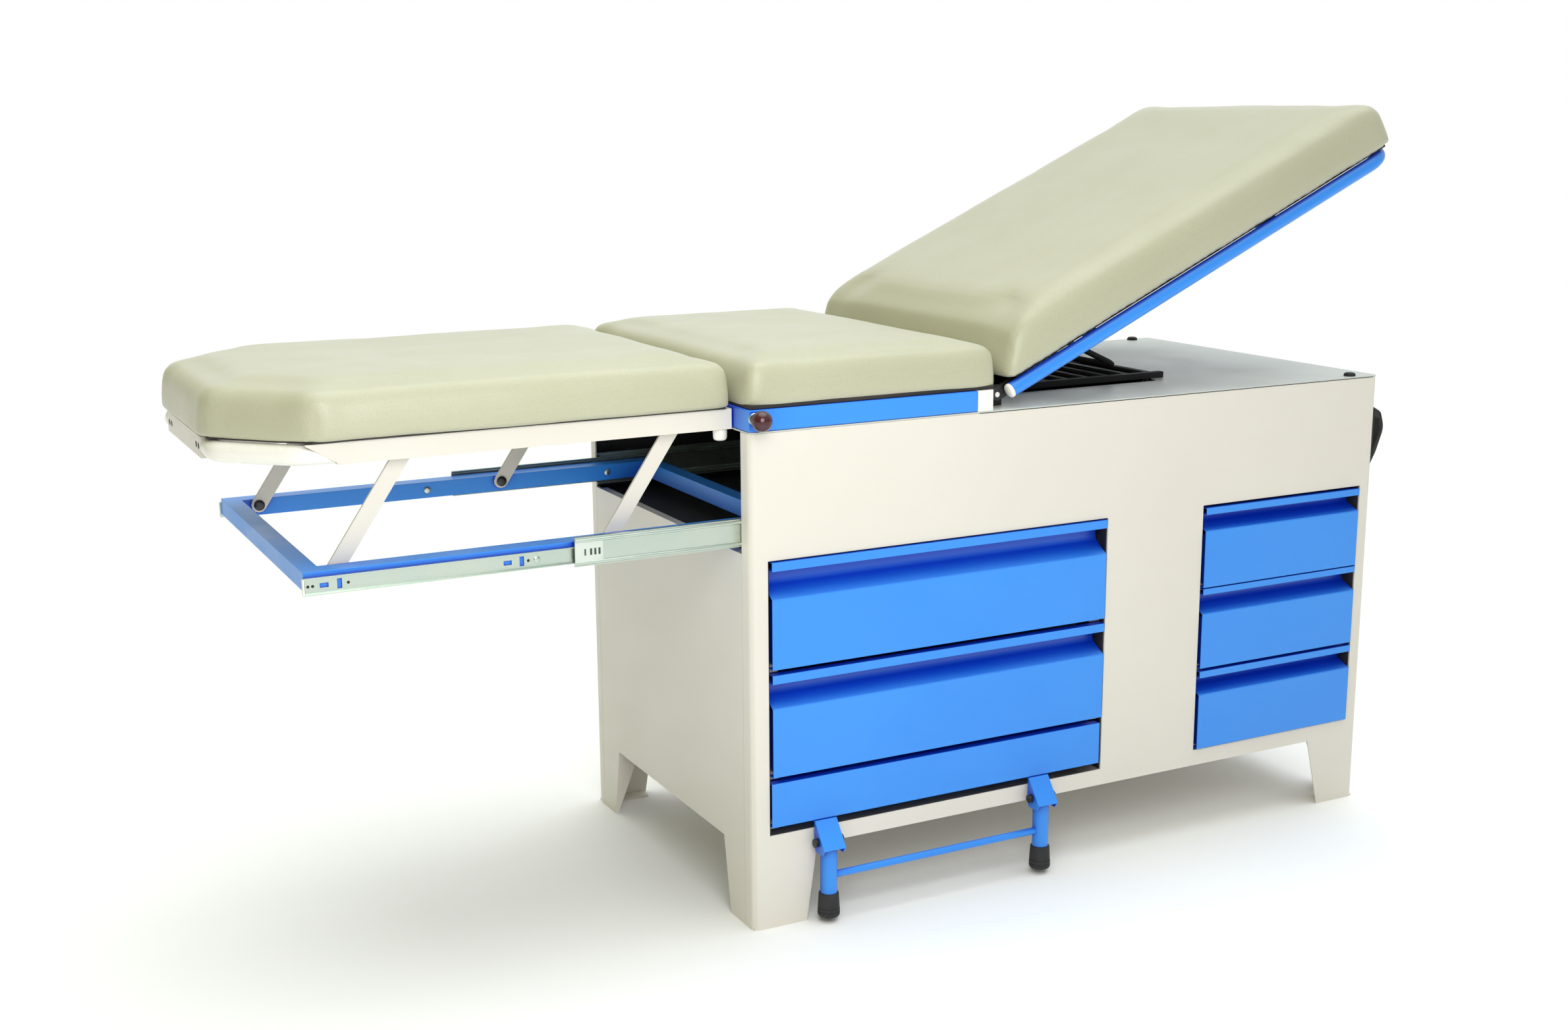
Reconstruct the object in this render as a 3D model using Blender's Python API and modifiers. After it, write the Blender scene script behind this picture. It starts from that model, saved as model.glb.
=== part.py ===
"""Medical exam table: a sheet-metal cabinet with drawers and a pull-out step, a seat,
a raised back rest on a folding prop, and a sliding leg rest carried by four links.

Lengths are metres. X runs from the foot end to the head end, Y from the front (drawer
side) to the back, Z up from the floor. Parts are laid out with X = 0 on the foot-end
panel and Y = 0 on the middle plane; the whole table is then shifted so that the world
origin is the middle of the footprint of its bounding box.
"""
import math

import bmesh
import bpy
from mathutils import Matrix, Vector

# ---- driving dimensions -------------------------------------------------------------
GAP = 0.0003             # between pieces that rest on each other
SHEET = 0.002            # cabinet sheet
THIN = 0.0015            # drawer and runner sheet

BODY_LENGTH = 1.154
BODY_HALF = 0.300        # half the cabinet's width
CORNER = 0.010           # bend radius of the cabinet's upright corners
DECK_TOP = 0.731
RAIL_BOTTOM = 0.116      # lower edge of the cabinet between its legs
STILE = 0.028            # upright edge beside the foot-end opening
END_OPENING_BOTTOM = 0.556
BANK_BOTTOM = 0.142      # drawer openings
BANK_TOP = 0.548
LEFT_BANK = (0.027, 0.612)
RIGHT_BANK = (0.798, 1.128)
UPRIGHT_TOP = 0.5485
DRAWER_FACE = -0.304     # front plane of the drawers
DRAWER_DEPTH = 0.545
STEP_DEPTH = 0.450
CHANNEL_DEPTH = 0.030    # finger channel above each drawer pan
RUNNER = 0.010           # height of the angle under each drawer

FRAME_TOP = 0.762        # seat frame
SEAT_LENGTH = 0.3707
SEAT_CUSHION_LENGTH = 0.405
SEAT_CUSHION_TOP = 0.838
RAIL_WIDTH = 0.025

LEG_LENGTH = 0.698
LEG_HALF = 0.264
LEG_FRAME_HALF = 0.250
LEG_FRAME_LOW = 0.730
LEG_FRAME_TOP = 0.7585
LEG_CUSHION_LOW = 0.762
LEG_CUSHION_TOP = 0.835

CARRIAGE_HALF = 0.262
CARRIAGE_SIDE = 0.030    # width of its side bars
CARRIAGE_BAR = 0.025     # width of its cross bars, height of all four
CARRIAGE_LOW = 0.5745
CARRIAGE_FOOT = -0.604
CARRIAGE_HEAD = 0.095
SLIDE_LENGTH = 0.700
MIDDLE_OUT = 0.246       # how far the middle slide members stand out

LINK_LOWER_Z = 0.591
LINK_UPPER_Z = 0.745
LINK_LEAN_X = 0.104      # the upper pivot is this much nearer the head end
LINK_FEET = {"foot": -0.556, "head": -0.179}
LINK_INNER = 0.224
LINK_THICK = 0.005
LINK_WIDE = 0.022
PIN = 0.005
PIN_HOLE = 0.0056

BACK_PIVOT = (0.419, 0.0, 0.750)
BACK_ANGLE = math.radians(24.65)
BACK_TUBE = 0.011
BACK_TUBE_Y = 0.2895
BACK_END = 0.817         # middle of the head-end tube, from the pivot
BACK_CUSHION_END = 0.827
BACK_BOARD_LOW = 0.0113
BACK_CUSHION_LOW = 0.018
BACK_CUSHION_TOP = 0.096
PROP_REACH = 0.190       # from the back pivot to the prop pivot, and the prop's own length
PROP_HALF = 0.110
PROP_ROD = 0.005
PROP_AXLE = 0.0065       # cross tube that the prop's eyes turn on

STEP_AXIS = (0.0, -0.3145, 0.124)
STEP_LEGS = {"left": 0.115, "right": 0.489}
STEP_TUBE = 0.0125

LOCK_AXIS = (0.0075, 0.750)     # X and Z of the lock plunger
KNOB = 0.0145

# ---- looks --------------------------------------------------------------------------
LOOKS = {
    "cream_paint": ((0.80, 0.79, 0.70), 0.42, 0.0),
    "blue_paint": ((0.05, 0.28, 0.86), 0.35, 0.0),
    "zinc_steel": ((0.62, 0.63, 0.64), 0.35, 1.0),
    "vinyl": ((0.55, 0.50, 0.36), 0.50, 0.0),
    "black_board": ((0.02, 0.02, 0.02), 0.60, 0.0),
    "black_paint": ((0.02, 0.02, 0.02), 0.40, 0.0),
    "black_rubber": ((0.015, 0.015, 0.015), 0.75, 0.0),
    "off_white": ((0.78, 0.76, 0.70), 0.40, 0.0),
    "maroon_plastic": ((0.13, 0.02, 0.03), 0.25, 0.0),
}


def start_empty():
    """Remove whatever the file holds and add the two collections."""
    for thing in list(bpy.data.objects):
        bpy.data.objects.remove(thing, do_unlink=True)
    collections = []
    for name in ("medical_exam_table", "cutters"):
        collection = bpy.data.collections.get(name) or bpy.data.collections.new(name)
        if name not in bpy.context.scene.collection.children:
            bpy.context.scene.collection.children.link(collection)
        collections.append(collection)
    return collections


def make_materials():
    made = {}
    for name, (colour, roughness, metallic) in LOOKS.items():
        look = bpy.data.materials.new(name)
        look.use_nodes = True
        shader = look.node_tree.nodes["Principled BSDF"]
        shader.inputs["Base Color"].default_value = (*colour, 1.0)
        shader.inputs["Roughness"].default_value = roughness
        shader.inputs["Metallic"].default_value = metallic
        made[name] = look
    return made


PARTS, CUTTERS = start_empty()
MATERIALS = make_materials()


# ---- general builders ---------------------------------------------------------------
def empty(name, location=(0, 0, 0), parent=None, rotation=(0, 0, 0)):
    holder = bpy.data.objects.new(name, None)
    holder.location = location
    holder.rotation_euler = rotation
    holder.parent = parent
    PARTS.objects.link(holder)
    return holder


def hinge_frame(name, pivot, parent):
    """A parent for pieces laid out in the table's frame, carried by an empty on the pivot."""
    axis = empty(name + "_axis", pivot, parent)
    return empty(name, [-value for value in pivot], axis)


def add(name, mesh, look, parent, location=(0, 0, 0), rotation=(0, 0, 0)):
    """Link a mesh as a part, or as a cutter where it has no look."""
    thing = bpy.data.objects.new(name, mesh)
    thing.location = location
    thing.rotation_euler = rotation
    thing.parent = parent
    if look:
        mesh.materials.append(MATERIALS[look])
        PARTS.objects.link(thing)
    else:
        thing.hide_render = True
        thing.display_type = "WIRE"
        CUTTERS.objects.link(thing)
    return thing


def finished_mesh(name, bm, smooth=False):
    bmesh.ops.recalc_face_normals(bm, faces=bm.faces)
    mesh = bpy.data.meshes.new(name)
    bm.to_mesh(mesh)
    bm.free()
    if smooth:
        mesh.shade_smooth()
        mesh.set_sharp_from_angle(angle=math.radians(35))
    return mesh


def block(name, low, high, look=None, parent=None):
    """A box between two corners, with its origin at its middle."""
    size = [b - a for a, b in zip(low, high)]
    middle = [(a + b) / 2 for a, b in zip(low, high)]
    bm = bmesh.new()
    bmesh.ops.create_cube(bm, size=1.0)
    bmesh.ops.scale(bm, vec=size, verts=bm.verts)
    return add(name, finished_mesh(name, bm), look, parent, middle)


def rod(name, start, end, radius, look=None, parent=None, sides=16, end_radius=None):
    """A round bar between two points, with its origin at its middle."""
    start, end = Vector(start), Vector(end)
    along = end - start
    bm = bmesh.new()
    bmesh.ops.create_cone(bm, cap_ends=True, segments=sides, radius1=radius,
                          radius2=radius if end_radius is None else end_radius,
                          depth=along.length)
    turn = along.to_track_quat("Z", "Y").to_matrix().to_4x4()
    bmesh.ops.transform(bm, matrix=turn, verts=bm.verts)
    return add(name, finished_mesh(name, bm, smooth=True), look, parent, (start + end) / 2)


def fillet(corners, steps=3, closed=False):
    """The points of an outline whose corners (u, v, radius) are rounded by arcs."""
    points = []
    last = len(corners) - 1
    for index, (u, v, radius) in enumerate(corners):
        here = Vector((u, v))
        if radius == 0 or (not closed and index in (0, last)):
            points.append(here)
            continue
        to_before = (Vector(corners[index - 1][:2]) - here).normalized()
        to_after = (Vector(corners[(index + 1) % (last + 1)][:2]) - here).normalized()
        half = to_before.angle(to_after) / 2
        centre = here + (to_before + to_after).normalized() * radius / math.sin(half)
        spoke_in = (here + to_before * radius / math.tan(half) - centre).normalized()
        spoke_out = (here + to_after * radius / math.tan(half) - centre).normalized()
        for step in range(steps + 1):
            spoke = spoke_in.slerp(spoke_out, step / steps)
            points.append(centre + spoke.normalized() * radius)
    return points


def across(axis, point, depth):
    """The 3-D point of an outline's point: its plane is square to the axis."""
    u, v = point
    return {"X": (depth, u, v), "Y": (u, depth, v), "Z": (u, v, depth)}[axis]


def sheet(name, outline, axis, start, end, look=None, parent=None, thick=SHEET):
    """A folded sheet: an open outline along the middle of its thickness, drawn out
    along an axis and thickened."""
    bm = bmesh.new()
    chain = [bm.verts.new(across(axis, point, start)) for point in outline]
    edges = [bm.edges.new(pair) for pair in zip(chain, chain[1:])]
    drawn = bmesh.ops.extrude_edge_only(bm, edges=edges)["geom"]
    moved = [item for item in drawn if isinstance(item, bmesh.types.BMVert)]
    bmesh.ops.translate(bm, verts=moved, vec=across(axis, (0, 0), end - start))
    folded = add(name, finished_mesh(name, bm), look, parent)
    solid = folded.modifiers.new("thickness", "SOLIDIFY")
    solid.thickness = thick
    solid.offset = 0
    solid.use_even_offset = True
    return folded


def plate(name, outlines, axis, start, end, look=None, parent=None,
          location=(0, 0, 0), rotation=(0, 0, 0)):
    """A flat plate: closed outlines, the later ones holes in the first, filled and
    thickened between two places on an axis."""
    curve = bpy.data.curves.new(name, "CURVE")
    curve.dimensions = "2D"
    curve.fill_mode = "BOTH"
    curve.extrude = (end - start) / 2
    for outline in outlines:
        spline = curve.splines.new("POLY")
        spline.points.add(len(outline) - 1)
        for spline_point, (u, v) in zip(spline.points, outline):
            spline_point.co = (u, v, 0, 1)
        spline.use_cyclic_u = True
    drawing = bpy.data.objects.new(name + "_outline", curve)
    CUTTERS.objects.link(drawing)
    bpy.context.view_layer.update()
    mesh = bpy.data.meshes.new_from_object(
        drawing.evaluated_get(bpy.context.evaluated_depsgraph_get()))
    bpy.data.objects.remove(drawing, do_unlink=True)
    bm = bmesh.new()
    bm.from_mesh(mesh)
    bmesh.ops.remove_doubles(bm, verts=bm.verts, dist=0.00001)
    columns = [Vector(across(axis, point, 0)) for point in ((1, 0), (0, 1))]
    columns.append(Vector(across(axis, (0, 0), 1)))
    turn = Matrix(columns).transposed().to_4x4()
    shift = Matrix.Translation(across(axis, (0, 0), (start + end) / 2))
    bmesh.ops.transform(bm, matrix=shift @ turn, verts=bm.verts)
    return add(name, finished_mesh(name, bm), look, parent, location, rotation)


def tube(name, points, radius, look=None, parent=None, sides=12):
    """A round tube along a row of points, as a mesh that can be joined to others."""
    curve = bpy.data.curves.new(name, "CURVE")
    curve.dimensions = "3D"
    curve.bevel_depth = radius
    curve.bevel_resolution = sides // 4
    curve.use_fill_caps = True
    spline = curve.splines.new("POLY")
    spline.points.add(len(points) - 1)
    for spline_point, point in zip(spline.points, points):
        spline_point.co = (*point, 1)
    guide = bpy.data.objects.new(name + "_guide", curve)
    CUTTERS.objects.link(guide)
    bpy.context.view_layer.update()
    mesh = bpy.data.meshes.new_from_object(
        guide.evaluated_get(bpy.context.evaluated_depsgraph_get()))
    bpy.data.objects.remove(guide, do_unlink=True)
    bm = bmesh.new()
    bm.from_mesh(mesh)
    bmesh.ops.remove_doubles(bm, verts=bm.verts, dist=0.00001)
    return add(name, finished_mesh(name, bm, smooth=True), look, parent)


def circle(u, v, radius, sides=12):
    turns = [2 * math.pi * step / sides for step in range(sides)]
    return [(u + radius * math.cos(turn), v + radius * math.sin(turn)) for turn in turns]


def combine(target, operation, tools):
    for tool in tools:
        step = target.modifiers.new(operation.lower(), "BOOLEAN")
        step.operation = operation
        step.object = tool
        step.solver = "EXACT"
    return target


def join(target, *tools):
    return combine(target, "UNION", tools)


def cut(target, *tools):
    return combine(target, "DIFFERENCE", tools)


def soften(target, width, segments=3):
    """Round the edges of a cushion or a moulded piece."""
    bevel = target.modifiers.new("rounding", "BEVEL")
    bevel.width = width
    bevel.segments = segments
    bevel.limit_method = "ANGLE"
    return target


# ---- cabinet ------------------------------------------------------------------------
def leg_gap(side, table):
    """Cutter for the space between the legs in a long panel."""
    outline = [(0.085, -0.01), (0.104, RAIL_BOTTOM),
               (BODY_LENGTH - 0.1095, RAIL_BOTTOM), (BODY_LENGTH - 0.079, -0.01)]
    reach = (0.28, 0.32)
    start, end = (reach if side > 0 else (-reach[1], -reach[0]))
    return plate(f"leg_gap_{side}", [outline], "Y", start, end, parent=table)


def long_panel(name, side, table):
    """Front or back of the cabinet: wraps the upright corners and stands on foot plates."""
    middle = SHEET / 2
    outer = side * (BODY_HALF - middle)
    edge = side * (BODY_HALF - STILE + 0.0005)
    outline = fillet([(middle, edge, 0), (middle, outer, CORNER),
                      (BODY_LENGTH - middle, outer, CORNER), (BODY_LENGTH - middle, edge, 0)])
    panel = sheet(name, outline, "Z", 0, DECK_TOP - SHEET - GAP, "cream_paint", table)
    feet = []
    for place, (low, high) in {"foot": (0.0015, 0.080), "head": (1.077, 1.1525)}.items():
        corners = sorted((side * (BODY_HALF - 0.0015), side * (BODY_HALF - STILE)))
        feet.append(block(f"{name}_{place}_plate", (low, corners[0], 0),
                          (high, corners[1], 0.003), parent=table))
    join(panel, *feet)
    cut(panel, leg_gap(side, table))
    if side < 0:
        for number, (low, high) in enumerate((LEFT_BANK, RIGHT_BANK)):
            cut(panel, block(f"bank_{number}", (low, -0.32, BANK_BOTTOM),
                             (high, -0.28, BANK_TOP), parent=table))
    return panel


def end_panel(name, outer_x, top, table):
    """End of the cabinet between the long panels' edges, with inner returns on its legs."""
    inward = 1 if outer_x == 0 else -1
    half = BODY_HALF - STILE - GAP
    leg_top, leg_floor = 0.203, 0.224
    face = sorted((outer_x, outer_x + inward * SHEET))
    outline = [(-half, 0), (-half, top), (half, top), (half, 0), (leg_floor, 0),
               (leg_top, RAIL_BOTTOM), (-leg_top, RAIL_BOTTOM), (-leg_floor, 0)]
    panel = plate(name, [outline], "X", face[0], face[1], "cream_paint", table)
    if top < DECK_TOP - 0.1:
        join(panel, block(name + "_flange", (SHEET / 2, -0.258, top - THIN),
                          (0.014, 0.258, top), parent=table))
    for side in (-1, 1):
        gusset = plate(f"{name}_gusset_{side}",
                       [[(outer_x + inward * 0.001, 0), (outer_x + inward * 0.005, 0),
                         (outer_x + inward * 0.038, RAIL_BOTTOM - 0.0005),
                         (outer_x + inward * 0.001, RAIL_BOTTOM - 0.0005)]],
                       "Y", -SHEET / 2, SHEET / 2, parent=table,
                       location=(0, side * (leg_floor + 0.001), 0),
                       rotation=(side * math.atan2(leg_floor - leg_top, RAIL_BOTTOM), 0, 0))
        join(panel, gusset)
    return panel


def deck(table):
    """Top sheet with the opening that the back rest's prop drops into."""
    outline = fillet([(0, -BODY_HALF, CORNER), (BODY_LENGTH, -BODY_HALF, CORNER),
                      (BODY_LENGTH, BODY_HALF, CORNER), (0, BODY_HALF, CORNER)], closed=True)
    opening = fillet([(0.450, -0.172, 0), (0.800, -0.172, 0.010), (0.842, -0.045, 0.060),
                      (0.842, 0.045, 0.060), (0.800, 0.172, 0.010), (0.450, 0.172, 0)],
                     closed=True)
    plate("deck_panel", [outline, opening], "Z", DECK_TOP - SHEET, DECK_TOP,
          "cream_paint", table)


def floor_pan(table):
    inset = SHEET + GAP
    block("floor_pan", (inset + 0.037, -BODY_HALF + inset, RAIL_BOTTOM),
          (BODY_LENGTH - inset - 0.037, BODY_HALF - inset, RAIL_BOTTOM + THIN),
          "cream_paint", table)


def upright(name, x, runner_side, runner_reach, heights, table):
    """A wall beside a drawer bank with one runner under each drawer."""
    low_y, high_y = -BODY_HALF + SHEET + GAP, BODY_HALF - SHEET - 0.015
    wall = block(name, (x, low_y, RAIL_BOTTOM + THIN + GAP), (x + THIN, high_y, UPRIGHT_TOP),
                 "cream_paint", table)
    for number, height in enumerate(heights):
        near = x + THIN / 2
        far = near + runner_side * runner_reach
        join(wall, block(f"{name}_runner_{number}", (min(near, far), low_y + 0.010,
                                                     height - RUNNER - 0.0005),
                         (max(near, far), high_y - 0.010, height - 0.0005), parent=table))


# ---- drawers ------------------------------------------------------------------------
DRAWERS = {
    # name: (bank, lip top, lip bottom, channel bottom, pan bottom)
    "drawer_left_upper": ("left", 0.546, 0.533, 0.492, 0.390),
    "drawer_left_lower": ("left", 0.382, 0.369, 0.332, 0.230),
    "drawer_right_upper": ("right", 0.544, 0.533, 0.506, 0.414),
    "drawer_right_middle": ("right", 0.412, 0.402, 0.370, 0.280),
    "drawer_right_lower": ("right", 0.275, 0.264, 0.235, 0.144),
}
FRONTS = {"left": (0.0315, 0.608), "right": (0.802, 1.124)}
TRAYS = {"left": (0.040, 0.600), "right": (0.811, 1.115)}
TRAY_LIFT = 0.003        # tray bottom above the pan's lower edge


def tray(name, low, high, open_top, table):
    """A five-sided box of thin sheet, open above or below."""
    size = [b - a for a, b in zip(low, high)]
    bm = bmesh.new()
    bmesh.ops.create_cube(bm, size=1.0)
    bmesh.ops.scale(bm, vec=size, verts=bm.verts)
    side = 1 if open_top else -1
    lid = [face for face in bm.faces if face.normal.z * side > 0.9]
    bmesh.ops.delete(bm, geom=lid, context="FACES_ONLY")
    middle = [(a + b) / 2 for a, b in zip(low, high)]
    box = add(name, finished_mesh(name, bm), None, table, middle)
    walls = box.modifiers.new("walls", "SOLIDIFY")
    walls.thickness = THIN
    walls.offset = -1
    walls.use_even_offset = True
    return box


def drawer(name, table):
    bank, lip_top, lip_low, channel_low, pan_low = DRAWERS[name]
    face = DRAWER_FACE + THIN / 2
    back = DRAWER_FACE + CHANNEL_DEPTH
    bend = channel_low + 0.45 * (lip_low - channel_low)
    outline = fillet([(face + 0.014, lip_top - THIN / 2, 0), (face, lip_top - THIN / 2, 0),
                      (face, lip_low + THIN / 2, 0), (back, lip_low + THIN / 2, 0),
                      (back, bend, 0.010), (face, channel_low, 0.002),
                      (face, pan_low + THIN / 2, 0), (face + 0.014, pan_low + THIN / 2, 0)])
    front = sheet(name, outline, "X", *FRONTS[bank], "blue_paint", table, THIN)
    low_x, high_x = TRAYS[bank]
    join(front, tray(name + "_tray", (low_x, DRAWER_FACE + 0.001, pan_low + TRAY_LIFT),
                     (high_x, DRAWER_FACE + DRAWER_DEPTH, channel_low - 0.007), True, table))


STEP_TRAY = (0.158, 0.2185)


def step(table):
    """Pull-out step: a plain front, a tread and a skirt, and two hooded brackets."""
    face = DRAWER_FACE + THIN / 2
    outline = [(face + 0.014, 0.221 - THIN / 2), (face, 0.221 - THIN / 2),
               (face, 0.155 + THIN / 2), (face + 0.014, 0.155 + THIN / 2)]
    front = sheet("step_drawer", outline, "X", 0.029, 0.605, "blue_paint", table, THIN)
    join(front, tray("step_tread", (0.040, DRAWER_FACE + 0.001, STEP_TRAY[0]),
                     (0.600, DRAWER_FACE + STEP_DEPTH, STEP_TRAY[1]), False, table))
    for side, x in STEP_LEGS.items():
        step_bracket(side, x, table)


def step_bracket(side, x, table):
    name = f"step_bracket_{side}"
    half = 0.018
    hood = [(-0.290, 0.1530), (-0.3055, 0.1530), (-0.334, 0.116)]
    bracket = sheet(name, hood, "X", x - half, x + half, "blue_paint", table)
    ear = [(-0.3040, 0.1530), (-0.3055, 0.1530), (-0.334, 0.116), (-0.328, 0.108),
           (-0.308, 0.108), (-0.3035, 0.118)]
    for edge in (-1, 1):
        inner = x + edge * (half - 0.001)
        join(bracket, plate(f"{name}_ear_{edge}", [ear], "X", inner - 0.001, inner + 0.001,
                            parent=table))
    cut(bracket, rod(name + "_bore", (x - 0.03, STEP_AXIS[1], STEP_AXIS[2]),
                     (x + 0.03, STEP_AXIS[1], STEP_AXIS[2]), 0.0038, parent=table, sides=12))


def step_leg(parent):
    """Two tubes with rubber feet on a cross rod, hung from the bracket bolts."""
    y, pivot_z = STEP_AXIS[1:]
    low_z, high_z, rod_z = 0.045, 0.112, 0.070
    left, right = STEP_LEGS["left"], STEP_LEGS["right"]
    frame = rod("step_leg_frame", (left, y, rod_z), (right, y, rod_z), 0.0055,
                "blue_paint", parent, sides=12)
    for side, x in STEP_LEGS.items():
        join(frame, rod(f"step_tube_{side}", (x, y, low_z), (x, y, high_z), STEP_TUBE,
                        parent=parent, sides=20))
        join(frame, block(f"step_tongue_{side}", (x - 0.008, y - 0.004, high_z - 0.004),
                          (x + 0.008, y + 0.004, pivot_z + 0.005), parent=parent))
        cut(frame, rod(f"step_tongue_bore_{side}", (x - 0.02, y, pivot_z),
                       (x + 0.02, y, pivot_z), 0.0038, parent=parent, sides=12))
        rod(f"step_foot_{side}", (x, y, 0.008), (x, y, low_z - GAP), 0.0165,
            "black_rubber", parent, sides=20, end_radius=0.0145)


def step_bolts(table):
    """Bolts that stay in the step's brackets, heads towards the foot end."""
    y, z = STEP_AXIS[1:]
    for side, x in STEP_LEGS.items():
        bolt = rod(f"step_bolt_{side}", (x - 0.022, y, z), (x + 0.022, y, z), 0.0034,
                   "zinc_steel", table, sides=12)
        join(bolt, rod(f"step_bolt_head_{side}", (x - 0.024, y, z), (x - 0.0183, y, z), 0.007,
                       parent=table, sides=6))
        join(bolt, rod(f"step_bolt_nut_{side}", (x + 0.0183, y, z), (x + 0.023, y, z), 0.007,
                       parent=table, sides=6))


# ---- seat ---------------------------------------------------------------------------
def seat(table):
    low_z = DECK_TOP + GAP
    frame = block("seat_frame", (0, -BODY_HALF, low_z), (SEAT_LENGTH, BODY_HALF, FRAME_TOP),
                  "blue_paint", table)
    cut(frame, block("seat_frame_inside",
                     (RAIL_WIDTH, -BODY_HALF + RAIL_WIDTH, low_z - 0.01),
                     (SEAT_LENGTH - RAIL_WIDTH, BODY_HALF - RAIL_WIDTH, FRAME_TOP + 0.01),
                     parent=table))
    x, z = LOCK_AXIS
    cut(frame, rod("lock_bore", (x, -BODY_HALF - 0.01, z),
                   (x, -BODY_HALF + RAIL_WIDTH + 0.030, z), 0.0041, parent=table))
    block("seat_board", (0.004, -BODY_HALF + 0.004, FRAME_TOP + GAP),
          (SEAT_CUSHION_LENGTH - 0.004, BODY_HALF - 0.004, FRAME_TOP + 0.006),
          "black_board", table)
    soften(block("seat_cushion", (0, -BODY_HALF, FRAME_TOP + 0.0063),
                 (SEAT_CUSHION_LENGTH, BODY_HALF, SEAT_CUSHION_TOP), "vinyl", table), 0.040, 4)


def lock_plunger(table):
    """Sprung pin with a ball knob at the front corner of the seat frame."""
    x, z = LOCK_AXIS
    knob_y = -0.3245
    rod("lock_stem", (x, knob_y + KNOB + GAP, z), (x, -0.262, z), 0.0035, "zinc_steel",
        table, sides=12)
    bm = bmesh.new()
    bmesh.ops.create_uvsphere(bm, u_segments=16, v_segments=10, radius=KNOB)
    ball = finished_mesh("lock_knob", bm, smooth=True)
    add("lock_knob", ball, "maroon_plastic", table, (x, knob_y, z))


# ---- back rest ----------------------------------------------------------------------
def hinge_bracket(name, side, table):
    """Block behind the seat frame with an ear and the back rest's pin."""
    outer, inner = side * BODY_HALF, side * 0.2625
    low_y, high_y = sorted((outer, inner))
    bracket = block(name, (SEAT_LENGTH + GAP, low_y, DECK_TOP + GAP), (0.397, high_y, FRAME_TOP),
                    "off_white", table)
    ear_low, ear_high = sorted((inner, side * 0.2685))
    join(bracket, block(name + "_ear", (0.372, ear_low, DECK_TOP + GAP),
                        (0.432, ear_high, FRAME_TOP), parent=table))
    x, _, z = BACK_PIVOT
    join(bracket, rod(name + "_pin", (x, side * 0.2650, z), (x, side * 0.2780, z), 0.004,
                      parent=table, sides=12))


def back_rest(back):
    """Everything that tips with the back, laid out along its tube: X away from the pivot."""
    tube_start, bend = 0.0175, 0.050
    path = [(x, y, 0) for x, y in fillet(
        [(tube_start, -BACK_TUBE_Y, 0), (BACK_END, -BACK_TUBE_Y, bend),
         (BACK_END, BACK_TUBE_Y, bend), (tube_start, BACK_TUBE_Y, 0)], steps=5)]
    frame = tube("back_frame", path, BACK_TUBE, "blue_paint", back)
    for number, (x, radius) in enumerate(((PROP_REACH, PROP_AXLE), (0.560, 0.0095))):
        join(frame, rod(f"back_cross_{number}", (x, -BACK_TUBE_Y, 0), (x, BACK_TUBE_Y, 0),
                        radius, parent=back, sides=16))
    block("back_board", (0.035, -0.287, BACK_BOARD_LOW),
          (BACK_END - 0.006, 0.287, BACK_CUSHION_LOW - GAP), "black_board", back)
    low, top, end = BACK_CUSHION_LOW, BACK_CUSHION_TOP, BACK_CUSHION_END
    outline = [(0.012, low), (0.028, 0.040), (0.048, 0.060), (0.060, 0.080), (0.080, top),
               (end - 0.030, top), (end - 0.008, 0.082), (end, 0.050), (end, 0.032),
               (end - 0.010, low)]
    soften(plate("back_cushion", [outline], "Y", -BODY_HALF, BODY_HALF, "vinyl", back), 0.008, 1)
    for name, side in (("front", -1), ("back", 1)):
        rod(f"ferrule_{name}", (0.012, side * BACK_TUBE_Y, 0),
            (tube_start - GAP, side * BACK_TUBE_Y, 0), BACK_TUBE, "off_white", back)
        hinge_arm(f"hinge_arm_{name}", side, back)


def hinge_arm(name, side, back):
    """Flat arm from the hinge pin along the inside of the back rest's tube."""
    low_y, high_y = sorted((side * 0.2690, side * 0.2781))
    eye = 0.009
    outline = [(0.060, eye), (0.060, -eye)]
    for step in range(9):
        turn = math.radians(-90 - 180 * step / 8)
        outline.append((eye * math.cos(turn), eye * math.sin(turn)))
    plate(name, [outline, circle(0, 0, 0.0044)], "Y", low_y, high_y, "zinc_steel", back)


def prop(holder):
    """Bail that swings on the back rest's cross tube and drops onto the rack."""
    ring, wide = 0.0108, 0.012
    path = fillet([(ring - 0.003, -PROP_HALF, 0), (PROP_REACH, -PROP_HALF, 0.020),
                   (PROP_REACH, PROP_HALF, 0.020), (ring - 0.003, PROP_HALF, 0)], steps=4)
    bail = tube("prop_bail", [(x, y, 0) for x, y in path], PROP_ROD, "black_paint", holder, 8)
    for side in (-1, 1):
        low_y = side * PROP_HALF - wide / 2
        join(bail, rod(f"prop_eye_{side}", (0, low_y, 0), (0, low_y + wide, 0), ring,
                       parent=holder))
        cut(bail, rod(f"prop_eye_bore_{side}", (0, low_y - 0.01, 0),
                      (0, low_y + wide + 0.01, 0), PROP_AXLE + 0.0006, parent=holder))


def prop_rack(table):
    """Two rails over the deck opening with a row of catches between them for the bail."""
    low_z, high_z = DECK_TOP + GAP, 0.741
    rack = block("prop_rack", (0.446, -0.150, low_z), (0.830, -0.138, high_z),
                 "black_paint", table)
    join(rack, block("rack_far_rail", (0.446, 0.138, low_z), (0.830, 0.150, high_z),
                     parent=table))
    for number, x in enumerate((0.452, 0.620, 0.660, 0.700, 0.740, 0.780, 0.824)):
        join(rack, block(f"rack_catch_{number}", (x - 0.006, -0.145, low_z + 0.001),
                         (x + 0.006, 0.145, high_z - 0.004), parent=table))


def bumpers(table):
    for name, side in (("front", -1), ("back", 1)):
        rod(f"bumper_{name}", (1.105, side * 0.285, DECK_TOP + GAP),
            (1.105, side * 0.285, 0.7385), 0.010, "black_rubber", table, end_radius=0.008)


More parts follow.
